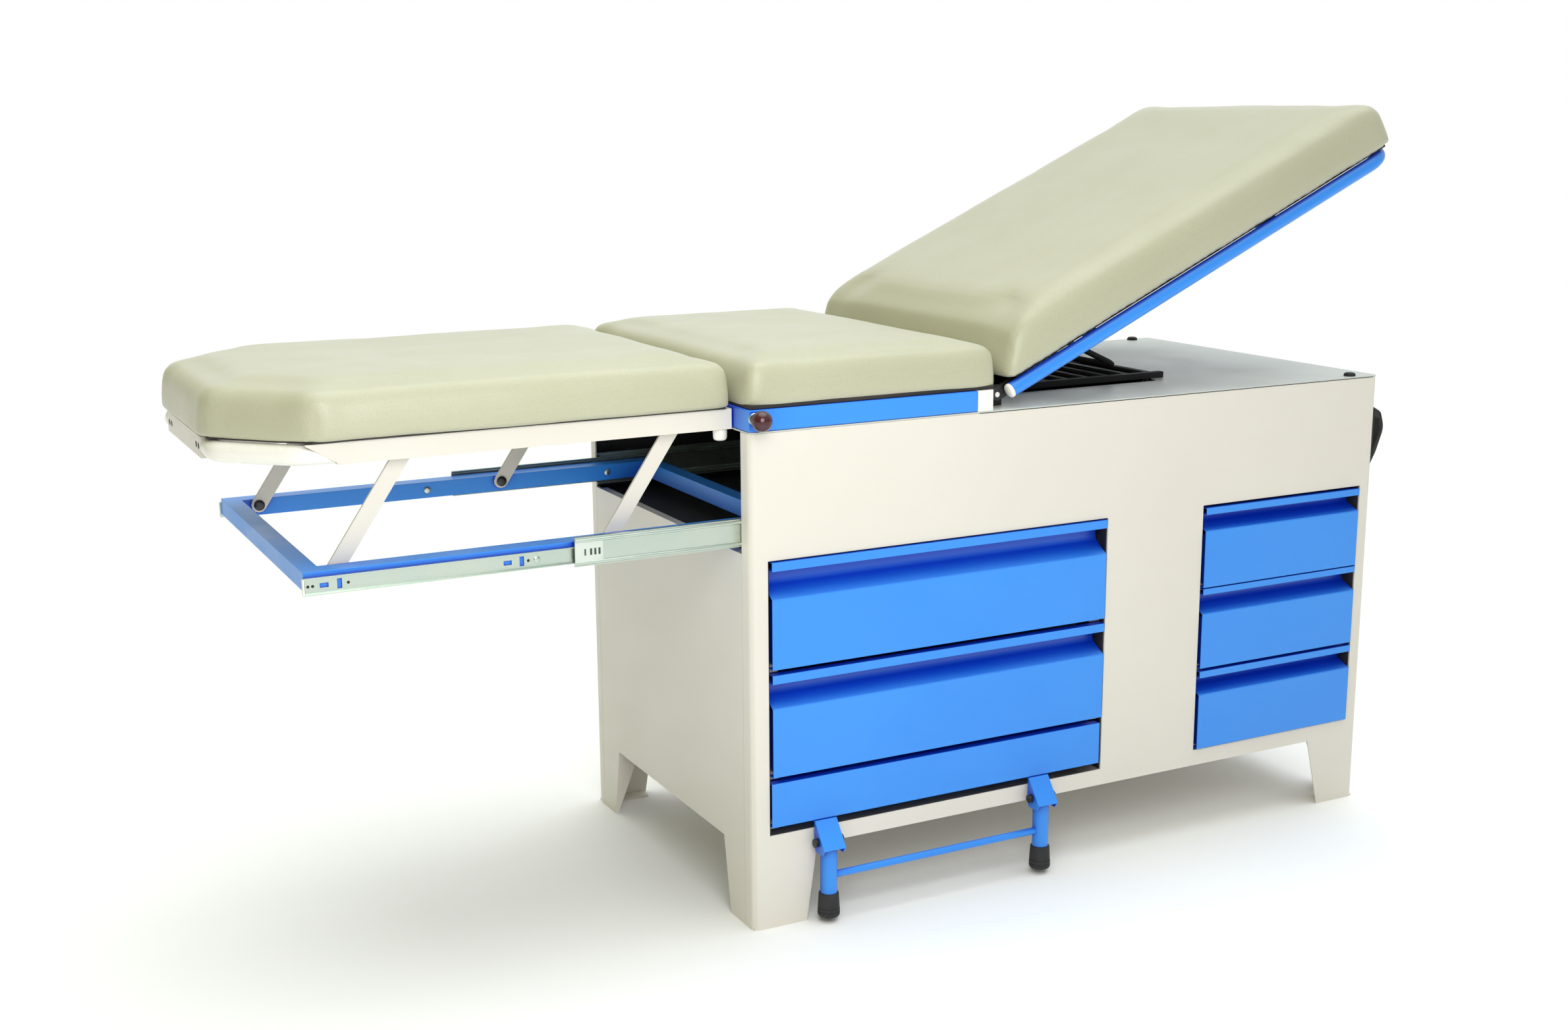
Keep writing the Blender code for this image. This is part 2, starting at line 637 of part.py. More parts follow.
def head_handle(table):
    """Bowed grip near the front corner of the head end."""
    base = BODY_LENGTH + GAP
    outer = fillet([(base, 0.572, 0), (base, 0.679, 0), (base + 0.022, 0.667, 0.010),
                    (base + 0.031, 0.640, 0.030), (base + 0.016, 0.600, 0.060)], closed=True)
    inner = fillet([(base + 0.008, 0.604, 0), (base + 0.008, 0.660, 0),
                    (base + 0.018, 0.655, 0.004), (base + 0.023, 0.638, 0.020)], closed=True)
    plate("head_handle", [outer, inner], "Y", -0.290, -0.270, "black_rubber", table)


# ---- leg rest -----------------------------------------------------------------------
def slides(table):
    """Three-member telescopic slides on both sides of the carriage."""
    for name, side in (("front", -1), ("back", 1)):
        def channel(part, web, lip, low_z, high_z, start, wall):
            outline = [(side * lip, low_z), (side * web, low_z),
                       (side * web, high_z), (side * lip, high_z)]
            return sheet(f"slide_{part}_{name}", outline, "X", start, start + SLIDE_LENGTH,
                         "zinc_steel", table, wall)
        wall = 0.0012
        inner = channel("inner", 0.2632, 0.2682, 0.5710, 0.5925, CARRIAGE_FOOT - 0.002, wall)
        middle_y = side * 0.2632
        for number, start in enumerate((-0.584, -0.343)):
            for shape, offset, long, low_z, high_z in (("flat", 0, 0.011, 0.5785, 0.5845),
                                                       ("upright", 0.022, 0.006, 0.5750, 0.5880)):
                cut(inner, block(f"slide_{shape}_slot_{name}_{number}",
                                 (start + offset, middle_y - 0.003, low_z),
                                 (start + offset + long, middle_y + 0.003, high_z),
                                 parent=table))
        channel("middle", 0.2700, 0.2655, 0.5666, 0.6054, -MIDDLE_OUT, wall)
        outer = channel("outer", 0.2752, 0.2712, 0.5606, 0.6114, SHEET + GAP, wall)
        for number, x in enumerate((0.060, 0.600)):
            near, far = sorted((side * 0.2750, side * (BODY_HALF - SHEET - GAP)))
            join(outer, block(f"slide_mount_{name}_{number}", (x, near, 0.566),
                              (x + 0.040, far, 0.606), parent=table))


def pins(frame, low_inner, reach, x_values, z, parent, name):
    """Short pins that stand inwards from a frame's side bars for the links."""
    for side in (-1, 1):
        for number, x in enumerate(x_values):
            join(frame, rod(f"{name}_pin_{side}_{number}", (x, side * reach, z),
                            (x, side * low_inner, z), PIN, parent=parent, sides=12))


def carriage(table):
    high_z = CARRIAGE_LOW + CARRIAGE_BAR
    frame = block("carriage_frame", (CARRIAGE_FOOT, -CARRIAGE_HALF, CARRIAGE_LOW),
                  (CARRIAGE_HEAD, CARRIAGE_HALF, high_z), "blue_paint", table)
    cut(frame, block("carriage_inside",
                     (CARRIAGE_FOOT + CARRIAGE_BAR, -CARRIAGE_HALF + CARRIAGE_SIDE, 0.5),
                     (CARRIAGE_HEAD - CARRIAGE_BAR, CARRIAGE_HALF - CARRIAGE_SIDE, 0.7),
                     parent=table))
    pins(frame, 0.2228, 0.240, LINK_FEET.values(), LINK_LOWER_Z, table, "carriage")


def link(end, name, side, table):
    """Flat bar with two eyes, its origin at the lower pivot."""
    rise = LINK_UPPER_Z - LINK_LOWER_Z
    length = math.hypot(rise, LINK_LEAN_X)
    outline = []
    for middle, first in ((length, 0), (0, 180)):
        for step in range(7):
            turn = math.radians(first + 180 * step / 6)
            outline.append((LINK_WIDE / 2 * math.cos(turn), middle + LINK_WIDE / 2 * math.sin(turn)))
    holes = [circle(0, middle, PIN_HOLE) for middle in (0, length)]
    low_y, high_y = sorted((side * LINK_INNER, side * (LINK_INNER + LINK_THICK)))
    middle_y = (low_y + high_y) / 2
    plate(f"link_{end}_{name}", [outline, *holes], "Y", low_y - middle_y, high_y - middle_y,
          "cream_paint", table, location=(LINK_FEET[end], middle_y, LINK_LOWER_Z),
          rotation=(0, math.atan2(LINK_LEAN_X, rise), 0))


def leg_rest(leg):
    """Platform frame, board, cushion, corner bows and rest pegs."""
    low, top, half = LEG_FRAME_LOW, LEG_FRAME_TOP, LEG_FRAME_HALF
    straight = -0.550
    inner = 0.230
    link_room = 0.010        # the folded links pass under the foot-end bar
    frame = block("leg_frame", (straight, -half, low), (-0.002, half, top), "cream_paint", leg)
    cut(frame, block("leg_frame_inside", (straight + 0.020, -inner, low - 0.01),
                     (-0.022, inner, top + 0.01), parent=leg),
        block("leg_frame_link_room", (straight - 0.01, -inner, low - 0.01),
              (straight + 0.03, inner, low + link_room), parent=leg))
    for side in (-1, 1):
        bar = sorted((side * 0.100, side * 0.120))
        join(frame, block(f"leg_nose_bar_{side}", (-0.672, bar[0], low + link_room + 0.001),
                          (straight + 0.010, bar[1], top - 0.002), parent=leg))
    join(frame, block("leg_nose", (-0.692, -0.122, low), (-0.667, 0.122, top), parent=leg))
    upper = [x + LINK_LEAN_X for x in LINK_FEET.values()]
    pins(frame, 0.2228, 0.240, upper, LINK_UPPER_Z, leg, "leg")

    def nose(inset):
        return [(-0.002 - inset, -LEG_HALF + inset), (-0.580, -LEG_HALF + inset),
                (-LEG_LENGTH + inset, -0.145), (-LEG_LENGTH + inset, 0.145),
                (-0.580, LEG_HALF - inset), (-0.002 - inset, LEG_HALF - inset)]
    plate("leg_board", [nose(0.010)], "Z", top + GAP, LEG_CUSHION_LOW - GAP,
          "black_board", leg)
    soften(plate("leg_cushion", [nose(0)], "Z", LEG_CUSHION_LOW, LEG_CUSHION_TOP,
                 "vinyl", leg), 0.020, 2)
    for name, side in (("front", -1), ("back", 1)):
        path = fillet([(-0.5505, side * 0.2365, 0), (-0.593, side * 0.2365, 0.035),
                       (-0.6790, side * 0.1560, 0.030), (-0.6790, side * 0.1225, 0)])
        tube(f"leg_bow_{name}", [(x, y, 0.7435) for x, y in path], 0.0135, "off_white", leg)
        rod(f"leg_peg_{name}", (-0.0135, side * 0.236, 0.713),
            (-0.0135, side * 0.236, low - GAP), 0.010, "off_white", leg, end_radius=0.009)


# ---- assembly -----------------------------------------------------------------------
def centre_on_origin(table):
    """Move the table so that its bounding box stands with its middle on the origin."""
    bpy.context.view_layer.update()
    graph = bpy.context.evaluated_depsgraph_get()
    corners = []
    for thing in PARTS.objects:
        if thing.type == "MESH":
            seen = thing.evaluated_get(graph)
            corners += [seen.matrix_world @ vertex.co for vertex in seen.data.vertices]
    for axis in (0, 1):
        values = [corner[axis] for corner in corners]
        table.location[axis] = -round((min(values) + max(values)) / 2, 5)


def build():
    table = empty("table")
    long_panel("front_panel", -1, table)
    long_panel("back_panel", 1, table)
    end_panel("foot_end_panel", 0, END_OPENING_BOTTOM, table)
    end_panel("head_end_panel", BODY_LENGTH, DECK_TOP - SHEET - GAP, table)
    deck(table)
    floor_pan(table)
    heights = {"left": [STEP_TRAY[0]], "right": []}
    for bank, _, _, _, pan_low in DRAWERS.values():
        heights[bank].append(pan_low + TRAY_LIFT)
    upright("upright_foot", LEFT_BANK[0] - 0.002, 1, 0.022, heights["left"], table)
    upright("upright_mid_left", LEFT_BANK[1] + GAP, -1, 0.022, heights["left"], table)
    upright("upright_mid_right", RIGHT_BANK[0] - GAP - THIN, 1, 0.022, heights["right"], table)
    upright("upright_head", RIGHT_BANK[1] + GAP, -1, 0.022, heights["right"], table)
    for name in DRAWERS:
        drawer(name, table)
    step(table)
    step_leg(hinge_frame("step_leg", STEP_AXIS, table))
    step_bolts(table)

    seat(table)
    lock_plunger(table)
    bumpers(table)
    head_handle(table)
    prop_rack(table)
    for name, side in (("front", -1), ("back", 1)):
        hinge_bracket(f"hinge_bracket_{name}", side, table)
    back = empty("back_axis", BACK_PIVOT, table, (0, -BACK_ANGLE, 0))
    back_rest(back)
    prop(empty("prop_axis", (PROP_REACH, 0, 0), back, (0, 2 * BACK_ANGLE, 0)))

    slides(table)
    carriage(table)
    for end in LINK_FEET:
        for name, side in (("front", -1), ("back", 1)):
            link(end, name, side, table)
    leg_pivot = (LINK_FEET["foot"] + LINK_LEAN_X, -LINK_INNER - LINK_THICK / 2, LINK_UPPER_Z)
    leg_rest(hinge_frame("leg_rest", leg_pivot, table))
    centre_on_origin(table)


build()
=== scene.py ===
"""Looks of the medical exam table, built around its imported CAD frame.

Places are given in the cabinet's own frame: X = 0 on the foot-end panel, Y = 0 on the
middle plane, Z = 0 on the floor. at() turns them into the row frame.
"""
import math

import bmesh
import bpy
import numpy as np
from mathutils import Matrix, Vector, noise


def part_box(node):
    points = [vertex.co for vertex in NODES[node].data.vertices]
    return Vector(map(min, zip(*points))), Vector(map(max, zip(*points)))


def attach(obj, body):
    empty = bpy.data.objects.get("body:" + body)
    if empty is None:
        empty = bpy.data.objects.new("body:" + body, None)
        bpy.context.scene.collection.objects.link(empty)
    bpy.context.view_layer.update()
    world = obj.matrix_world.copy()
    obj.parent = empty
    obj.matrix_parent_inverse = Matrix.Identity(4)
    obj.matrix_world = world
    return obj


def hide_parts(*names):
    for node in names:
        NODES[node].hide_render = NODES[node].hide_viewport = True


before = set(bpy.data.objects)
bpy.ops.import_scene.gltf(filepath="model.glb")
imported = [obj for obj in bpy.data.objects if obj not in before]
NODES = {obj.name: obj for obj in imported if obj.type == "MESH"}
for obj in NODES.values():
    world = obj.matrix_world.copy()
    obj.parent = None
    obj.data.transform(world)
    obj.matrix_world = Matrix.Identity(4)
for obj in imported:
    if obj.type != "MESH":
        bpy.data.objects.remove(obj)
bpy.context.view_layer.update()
SIDES = (("front", -1), ("back", 1))        # names of the long sides and their Y signs

panel_low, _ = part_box("front_panel")
deck_low, deck_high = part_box("deck_panel")
SHIFT = Vector((panel_low.x, (deck_low.y + deck_high.y) / 2, 0))


def at(x, y, z):
    """A place of the cabinet's own frame in the row frame."""
    return Vector((x, y, z)) + SHIFT


def y_range(side, near, far):
    """The Y range between two distances from the middle plane, low end first."""
    return sorted((side * near, side * far))


# ---- materials ----------------------------------------------------------------------
def coordinates(nodes):
    return nodes.new("ShaderNodeTexCoord").outputs["Object"]


def noise_value(nodes, links, scale, detail=3.0, stretch=None):
    """Noise fixed to the piece; stretch squeezes it along axes."""
    source = coordinates(nodes)
    if stretch:
        mapping = nodes.new("ShaderNodeMapping")
        mapping.inputs["Scale"].default_value = stretch
        links.new(source, mapping.inputs["Vector"])
        source = mapping.outputs["Vector"]
    texture = nodes.new("ShaderNodeTexNoise")
    texture.inputs["Scale"].default_value = scale
    texture.inputs["Detail"].default_value = detail
    links.new(source, texture.inputs["Vector"])
    return texture.outputs["Fac"]


def remap(nodes, links, value, low, high, start=0.3, end=0.7):
    """A value from start to end, spread over low to high and clamped there."""
    ramp = nodes.new("ShaderNodeMapRange")
    for name, number in (("From Min", start), ("From Max", end), ("To Min", low), ("To Max", high)):
        ramp.inputs[name].default_value = number
    links.new(value, ramp.inputs["Value"])
    return ramp.outputs["Result"]


def blend_colours(nodes, links, value, first, second):
    mix = nodes.new("ShaderNodeMix")
    mix.data_type = "RGBA"
    links.new(value, mix.inputs["Factor"])
    for socket, colour in ((6, first), (7, second)):
        if isinstance(colour, tuple):
            mix.inputs[socket].default_value = (*colour, 1.0)
        else:
            links.new(colour, mix.inputs[socket])
    return mix.outputs[2]


def bump(nodes, links, height, strength, distance, normal=None):
    node = nodes.new("ShaderNodeBump")
    node.inputs["Strength"].default_value = strength
    node.inputs["Distance"].default_value = distance
    links.new(height, node.inputs["Height"])
    if normal:
        links.new(normal, node.inputs["Normal"])
    return node.outputs["Normal"]


def start_material(name, **sockets):
    made = bpy.data.materials.new(name)
    made.use_nodes = True
    shader = made.node_tree.nodes["Principled BSDF"]
    for socket, value in sockets.items():
        shader.inputs[socket.replace("_", " ")].default_value = value
    return made, made.node_tree.nodes, made.node_tree.links, shader


def paint(name, colour, shade, rough=(0.28, 0.42), peel=0.10, coat=0.0, painted_shade=None):
    """Powder coat: slow random drift between two tones, orange peel, scattered duller patches and,
    where a painted shade colour is given, painted shade that darkens corners and recesses."""
    made, nodes, links, shader = start_material(name, Coat_Weight=coat, Coat_Roughness=0.12)
    drift = noise_value(nodes, links, 3.5, 4)
    base = blend_colours(nodes, links, remap(nodes, links, drift, 0, 1), colour, shade)
    # Ambient occlusion mixes in the painted shade colour: painted shade in corners and recesses.
    if painted_shade:
        open_sky = nodes.new("ShaderNodeAmbientOcclusion")
        open_sky.samples = 8
        open_sky.inputs["Distance"].default_value = 0.06
        base = blend_colours(nodes, links,
                             remap(nodes, links, open_sky.outputs["AO"], 0, 1, 0.45, 0.97),
                             painted_shade, base)
    links.new(base, shader.inputs["Base Color"])
    smears = noise_value(nodes, links, 9, 6, (1, 1, 2.5))
    links.new(remap(nodes, links, smears, *rough), shader.inputs["Roughness"])
    fine = bump(nodes, links, noise_value(nodes, links, 520, 2), peel, 0.0004)
    wave = bump(nodes, links, noise_value(nodes, links, 26, 1), 0.02, 0.003, fine)
    links.new(wave, shader.inputs["Normal"])
    return made


def metal(name, colour, shade, rough):
    """Plated steel: rolling lines along X and a cloudy passivation tint."""
    made, nodes, links, shader = start_material(name, Metallic=1.0)
    cloud = noise_value(nodes, links, 14, 5)
    base = blend_colours(nodes, links, remap(nodes, links, cloud, 0, 1), colour, shade)
    links.new(base, shader.inputs["Base Color"])
    lines = noise_value(nodes, links, 700, 3, (0.05, 1, 1))
    links.new(remap(nodes, links, lines, *rough), shader.inputs["Roughness"])
    links.new(bump(nodes, links, lines, 0.12, 0.0003), shader.inputs["Normal"])
    return made


def vinyl(name):
    """Coated upholstery cloth: fine leather grain, a few larger wrinkles, satin sheen."""
    made, nodes, links, shader = start_material(
        name, Sheen_Weight=0.10, Sheen_Roughness=0.45, Coat_Weight=0.45, Coat_Roughness=0.34)
    drift = noise_value(nodes, links, 5, 5)
    body = blend_colours(nodes, links, remap(nodes, links, drift, 0, 1),
                         (0.515, 0.510, 0.368), (0.488, 0.484, 0.342))
    cells = nodes.new("ShaderNodeTexVoronoi")
    cells.feature = "DISTANCE_TO_EDGE"
    cells.inputs["Scale"].default_value = 620
    cells.inputs["Randomness"].default_value = 0.9
    links.new(coordinates(nodes), cells.inputs["Vector"])
    grain = remap(nodes, links, cells.outputs["Distance"], 0, 1, 0.0, 0.16)
    tinted = blend_colours(nodes, links, grain, (0.430, 0.425, 0.292), body)
    links.new(tinted, shader.inputs["Base Color"])
    worn = noise_value(nodes, links, 11, 5)
    links.new(remap(nodes, links, worn, 0.40, 0.56), shader.inputs["Roughness"])
    pores = bump(nodes, links, grain, 0.16, 0.0003)
    soft = bump(nodes, links, noise_value(nodes, links, 60, 4), 0.10, 0.0015, pores)
    links.new(soft, shader.inputs["Normal"])
    return made


def rubber(name, colour, rough=(0.55, 0.8)):
    made, nodes, links, shader = start_material(name)
    dust = noise_value(nodes, links, 40, 6)
    base = blend_colours(nodes, links, remap(nodes, links, dust, 0, 1, 0.45, 0.8), colour,
                         tuple(value * 1.9 + 0.01 for value in colour))
    links.new(base, shader.inputs["Base Color"])
    links.new(remap(nodes, links, dust, *rough), shader.inputs["Roughness"])
    links.new(bump(nodes, links, noise_value(nodes, links, 900, 2), 0.25, 0.0003),
              shader.inputs["Normal"])
    return made


def plastic(name, colour, shade, rough=(0.12, 0.28)):
    made, nodes, links, shader = start_material(name, Coat_Weight=0.2, Coat_Roughness=0.1)
    flow = noise_value(nodes, links, 30, 3)
    base = blend_colours(nodes, links, remap(nodes, links, flow, 0, 1), colour, shade)
    links.new(base, shader.inputs["Base Color"])
    links.new(remap(nodes, links, flow, *rough), shader.inputs["Roughness"])
    links.new(bump(nodes, links, noise_value(nodes, links, 260, 2), 0.06, 0.0004),
              shader.inputs["Normal"])
    return made


def plywood(name):
    """Black-stained board with a faint grain along X."""
    made, nodes, links, shader = start_material(name)
    grain = noise_value(nodes, links, 90, 6, (0.06, 1, 1))
    base = blend_colours(nodes, links, remap(nodes, links, grain, 0, 1),
                         (0.012, 0.011, 0.010), (0.040, 0.034, 0.028))
    links.new(base, shader.inputs["Base Color"])
    links.new(remap(nodes, links, grain, 0.55, 0.75), shader.inputs["Roughness"])
    links.new(bump(nodes, links, grain, 0.3, 0.0005), shader.inputs["Normal"])
    return made


LOOKS = {
    "cream_paint": paint("cream_paint", (0.760, 0.722, 0.655), (0.738, 0.700, 0.628)),
    # The blue's painted shade colour darkens its corners and recesses, such as the drawers' finger
    # channels.
    "blue_paint": paint("blue_paint", (0.034, 0.290, 0.900), (0.028, 0.262, 0.860),
                        rough=(0.30, 0.44), coat=0.08, painted_shade=(0.001, 0.046, 0.560)),
    "zinc_steel": metal("zinc_steel", (0.60, 0.66, 0.58), (0.54, 0.63, 0.57), (0.26, 0.42)),
    "vinyl": vinyl("vinyl"),
    "black_board": plywood("black_board"),
    "black_paint": paint("black_paint", (0.005, 0.005, 0.006), (0.009, 0.009, 0.010),
                         rough=(0.60, 0.80)),
    "black_rubber": rubber("black_rubber", (0.014, 0.014, 0.015)),
    "off_white": paint("off_white", (0.91, 0.89, 0.83), (0.88, 0.86, 0.79), rough=(0.22, 0.34),
                       peel=0.05, coat=0.2),
    "maroon_plastic": plastic("maroon_plastic", (0.060, 0.010, 0.014), (0.045, 0.007, 0.010)),
}
# The deck is the cabinet's cream paint; this darker, cooler copy is painted shade under the back
# rest and a painted cool reflection.
SHADED_DECK_CREAM = paint("deck_cream_shaded", (0.620, 0.645, 0.605), (0.560, 0.605, 0.580),
                   rough=(0.30, 0.45))
# Zinc darkened to near black: painted shade on zinc fittings that sit in shadow.
SHADED_ZINC = metal("zinc_painted_shade", (0.08, 0.08, 0.085), (0.05, 0.05, 0.055), (0.35, 0.50))
SLIDE_PLASTIC = plastic("slide_plastic", (0.62, 0.68, 0.62), (0.56, 0.63, 0.58), (0.3, 0.45))
# Near-black: painted shade in holes, slits, the drawer openings' ends and the hinge gaps, and the
# dark joint under the deck's edge.
SHADE_AND_JOINT_BLACK = rubber("shade_and_joint_black", (0.006, 0.006, 0.007))
SLOT_SHADE = rubber("slot_shade", (0.020, 0.045, 0.038))


# ---- mesh builders ------------------------------------------------------------------
def piece(name, bm, look, body, smooth_angle=38, slot=None, stands_for=()):
    """A finished mesh in the row frame that rides on a CAD body."""
    bmesh.ops.remove_doubles(bm, verts=bm.verts, dist=0.000001)
    bmesh.ops.recalc_face_normals(bm, faces=bm.faces)
    mesh = bpy.data.meshes.new(name)
    bm.to_mesh(mesh)
    bm.free()
    mesh.shade_smooth()
    mesh.set_sharp_from_angle(angle=math.radians(smooth_angle))
    mesh.materials.append(LOOKS[look] if isinstance(look, str) else look)
    made = bpy.data.objects.new(name, mesh)
    bpy.context.scene.collection.objects.link(made)
    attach(made, body)
    slot = slot or (look if isinstance(look, str) else None)
    if stands_for:
        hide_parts(*stands_for)
    return made


def ring_at(bm, centre, first, second, radius, sides):
    """A circle of vertices in the plane of two unit vectors."""
    ring = []
    for step in range(sides):
        turn = 2 * math.pi * step / sides
        ring.append(bm.verts.new(centre + first * radius * math.cos(turn)
                                 + second * radius * math.sin(turn)))
    return ring


def bridge(bm, low, high):
    """Faces between two rings with the same number of vertices."""
    for index in range(len(low)):
        after = (index + 1) % len(low)
        bm.faces.new((low[index], low[after], high[after], high[index]))


def lathe_into(bm, start, direction, profile, sides=32):
    """Turned shape: profile holds (distance along the axis, radius)."""
    axis = Vector(direction).normalized()
    first = axis.orthogonal().normalized()
    second = axis.cross(first)
    rings = [ring_at(bm, start + axis * along, first, second, max(radius, 0.00001), sides)
             for along, radius in profile]
    for low, high in zip(rings, rings[1:]):
        bridge(bm, low, high)
    bm.faces.new(rings[0])
    bm.faces.new(rings[-1])


def pipe_into(bm, points, radius, sides=24):
    """Round bar along a row of points, with a frame carried along without twist."""
    points = [Vector(point) for point in points]
    along = (points[1] - points[0]).normalized()
    first = along.orthogonal().normalized()
    rings = []
    for index, point in enumerate(points):
        before = points[max(index - 1, 0)]
        after = points[min(index + 1, len(points) - 1)]
        along = (after - before).normalized()
        first = (first - along * first.dot(along)).normalized()
        rings.append(ring_at(bm, point, first, along.cross(first), radius, sides))
    for low, high in zip(rings, rings[1:]):
        bridge(bm, low, high)
    bm.faces.new(rings[0])
    bm.faces.new(rings[-1])


def rounded_path(corners, steps=10):
    """Points along a flat path whose corners (u, v, radius) are arcs."""
    points = []
    last = len(corners) - 1
    for index, (u, v, radius) in enumerate(corners):
        here = Vector((u, v))
        if radius == 0 or index in (0, last):
            points.append(here)
            continue
        before = (Vector(corners[index - 1][:2]) - here).normalized()
        after = (Vector(corners[index + 1][:2]) - here).normalized()
        half = before.angle(after) / 2
        centre = here + (before + after).normalized() * radius / math.sin(half)
        spoke_in = here + before * radius / math.tan(half) - centre
        spoke_out = here + after * radius / math.tan(half) - centre
        for step in range(steps + 1):
            points.append(centre + spoke_in.normalized().slerp(
                spoke_out.normalized(), step / steps).normalized() * radius)
    return points


def slab_into(bm, low, high, edge=0.001):
    """A block with chamfered edges between two corners of the cabinet's frame."""
    low, high = at(*low), at(*high)
    made = bmesh.ops.create_cube(bm, size=1.0)["verts"]
    bmesh.ops.scale(bm, vec=high - low, verts=made)
    bmesh.ops.translate(bm, vec=(low + high) / 2, verts=made)
    edges = {link for vertex in made for link in vertex.link_edges}
    bmesh.ops.bevel(bm, geom=list(edges), offset=edge, segments=2, affect="EDGES", profile=0.5)


def slab(name, low, high, look, body, edge=0.001, **words):
    bm = bmesh.new()
    slab_into(bm, low, high, edge)
    return piece(name, bm, look, body, **words)


def fastener_into(bm, place, direction, radius, height):
    """Domed screw head that sits on a surface."""
    lathe_into(bm, place, direction,
               [(0, radius), (height * 0.35, radius), (height * 0.7, radius * 0.86),
                (height * 0.93, radius * 0.55), (height, radius * 0.2)], 24)


# ---- CAD nodes that stay ------------------------------------------------------------
def dress(node, look, edge=0.0006, angle=40):
    """Material and softened edges on a CAD node; its mesh stays as it is."""
    part = NODES[node]
    part.data.materials.clear()
    part.data.materials.append(LOOKS[look] if isinstance(look, str) else look)
    weld = part.modifiers.new("weld", "WELD")
    weld.merge_threshold = 0.00001
    flat = part.modifiers.new("flat", "DECIMATE")
    flat.decimate_type = "DISSOLVE"
    flat.angle_limit = math.radians(0.5)
    if edge:
        bevel = part.modifiers.new("edges", "BEVEL")
        bevel.width = edge
        bevel.segments = 2
        bevel.limit_method = "ANGLE"
        bevel.angle_limit = math.radians(angle)
        bevel.use_clamp_overlap = True
    shade = part.modifiers.new("shade", "WEIGHTED_NORMAL")
    shade.weight = 60
    shade.keep_sharp = False


SHEET_EDGE, BAR_EDGE = 0.0005, 0.0022
# The deck panel gets the darker, cooler cream copy: painted shade and painted reflection.
dress("deck_panel", SHADED_DECK_CREAM, SHEET_EDGE)
for node in ("front_panel", "back_panel", "foot_end_panel", "head_end_panel", "floor_pan",
             "upright_foot", "upright_mid_left", "upright_mid_right", "upright_head"):
    dress(node, "cream_paint", SHEET_EDGE)
for node in ("drawer_left_upper", "drawer_left_lower", "drawer_right_upper",
             "drawer_right_middle", "drawer_right_lower", "step_drawer",
             "step_bracket_left", "step_bracket_right"):
    dress(node, "blue_paint", 0.0004)
for node in ("seat_frame", "carriage_frame"):
    dress(node, "blue_paint", BAR_EDGE)
dress("leg_frame", "cream_paint", 0.0018)
for node in ("link_foot_front", "link_foot_back", "link_head_front", "link_head_back"):
    dress(node, "cream_paint", 0.0009)
for node in ("slide_outer_front", "slide_outer_back", "slide_middle_front",
             "slide_middle_back", "slide_inner_front", "slide_inner_back"):
    dress(node, "zinc_steel", 0.0003)
for node in ("hinge_bracket_front", "hinge_bracket_back"):
    dress(node, "off_white", 0.0015)
for node in ("seat_board", "leg_board", "back_board"):
    dress(node, "black_board", 0.0008)
dress("lock_stem", "zinc_steel", 0.0005, 50)
# Hinge arms and step bolts get the darkened zinc: painted shade.
for node in ("hinge_arm_front", "hinge_arm_back", "step_bolt_left", "step_bolt_right"):
    dress(node, SHADED_ZINC, 0.0005, 50)
for node in ("prop_rack", "prop_bail"):
    dress(node, "black_paint", 0.0005, 50)
dress("head_handle", "black_rubber", 0.003)
dress("step_leg_frame", "blue_paint", 0.0008, 50)


# ---- cushions -----------------------------------------------------------------------
def prism(points, depth, place):
    """Closed solid from an outline (u, v) between two depths w; place(u, v, w) is its point."""
    bm = bmesh.new()
    rings = [[bm.verts.new(place(u, v, w)) for u, v in points] for w in depth]
    bridge(bm, *rings)
    bm.faces.new(rings[0])
    bm.faces.new(rings[1])
    bmesh.ops.recalc_face_normals(bm, faces=bm.faces)
    return bm


def round_edges(bm, chosen, radius, segments):
    """Bevel the edges that chosen(edge) is true for."""
    edges = [edge for edge in bm.edges if chosen(edge)]
    bmesh.ops.bevel(bm, geom=edges, offset=radius, segments=segments, affect="EDGES",
                    profile=0.5, clamp_overlap=True)


def inflate(name, bm, cap, pinned):
    """Remesh a pad, let cloth under pressure swell its cover, and keep the result."""
    mesh = bpy.data.meshes.new(name)
    bm.to_mesh(mesh)
    bm.free()
    pad = bpy.data.objects.new(name, mesh)
    bpy.context.scene.collection.objects.link(pad)
    remesh = pad.modifiers.new("remesh", "REMESH")
    remesh.mode = "VOXEL"
    remesh.voxel_size = VOXEL
    bake(pad)
    even = pad.modifiers.new("even", "SMOOTH")
    even.factor, even.iterations = 0.5, 4
    bake(pad)
    start = vertex_places(pad.data)
    held = pad.vertex_groups.new(name="held")
    held.add([index for index, place in enumerate(start) if pinned(place)], 1.0, "REPLACE")
    cloth = pad.modifiers.new("cloth", "CLOTH")
    cloth.settings.use_pressure = True
    cloth.settings.uniform_pressure_force = 4.0
    cloth.settings.effector_weights.gravity = 0
    cloth.settings.vertex_group_mass = "held"
    cloth.settings.quality = 4
    cloth.settings.tension_stiffness = cloth.settings.compression_stiffness = 12
    cloth.settings.bending_stiffness = 1.5
    cloth.collision_settings.use_collision = False
    cloth.point_cache.frame_start, cloth.point_cache.frame_end = 1, FRAMES
    for step in range(1, FRAMES + 1):
        bpy.context.scene.frame_set(step)
    outward = vertex_normals(pad.data)
    bake(pad)
    bpy.context.scene.frame_set(1)
    moved = vertex_places(pad.data) - start
    inward = np.minimum((moved * outward).sum(axis=1, keepdims=True), 0)
    moved = evened(pad.data, moved - 0.85 * inward * outward, 14)
    length = np.linalg.norm(moved, axis=1, keepdims=True)
    limited = cap * np.tanh(length / cap)
    keep = start + moved * limited / np.maximum(length, 1e-9)
    pad.data.vertices.foreach_set("co", keep.astype(np.float32).ravel())
    pad.vertex_groups.clear()
    return pad


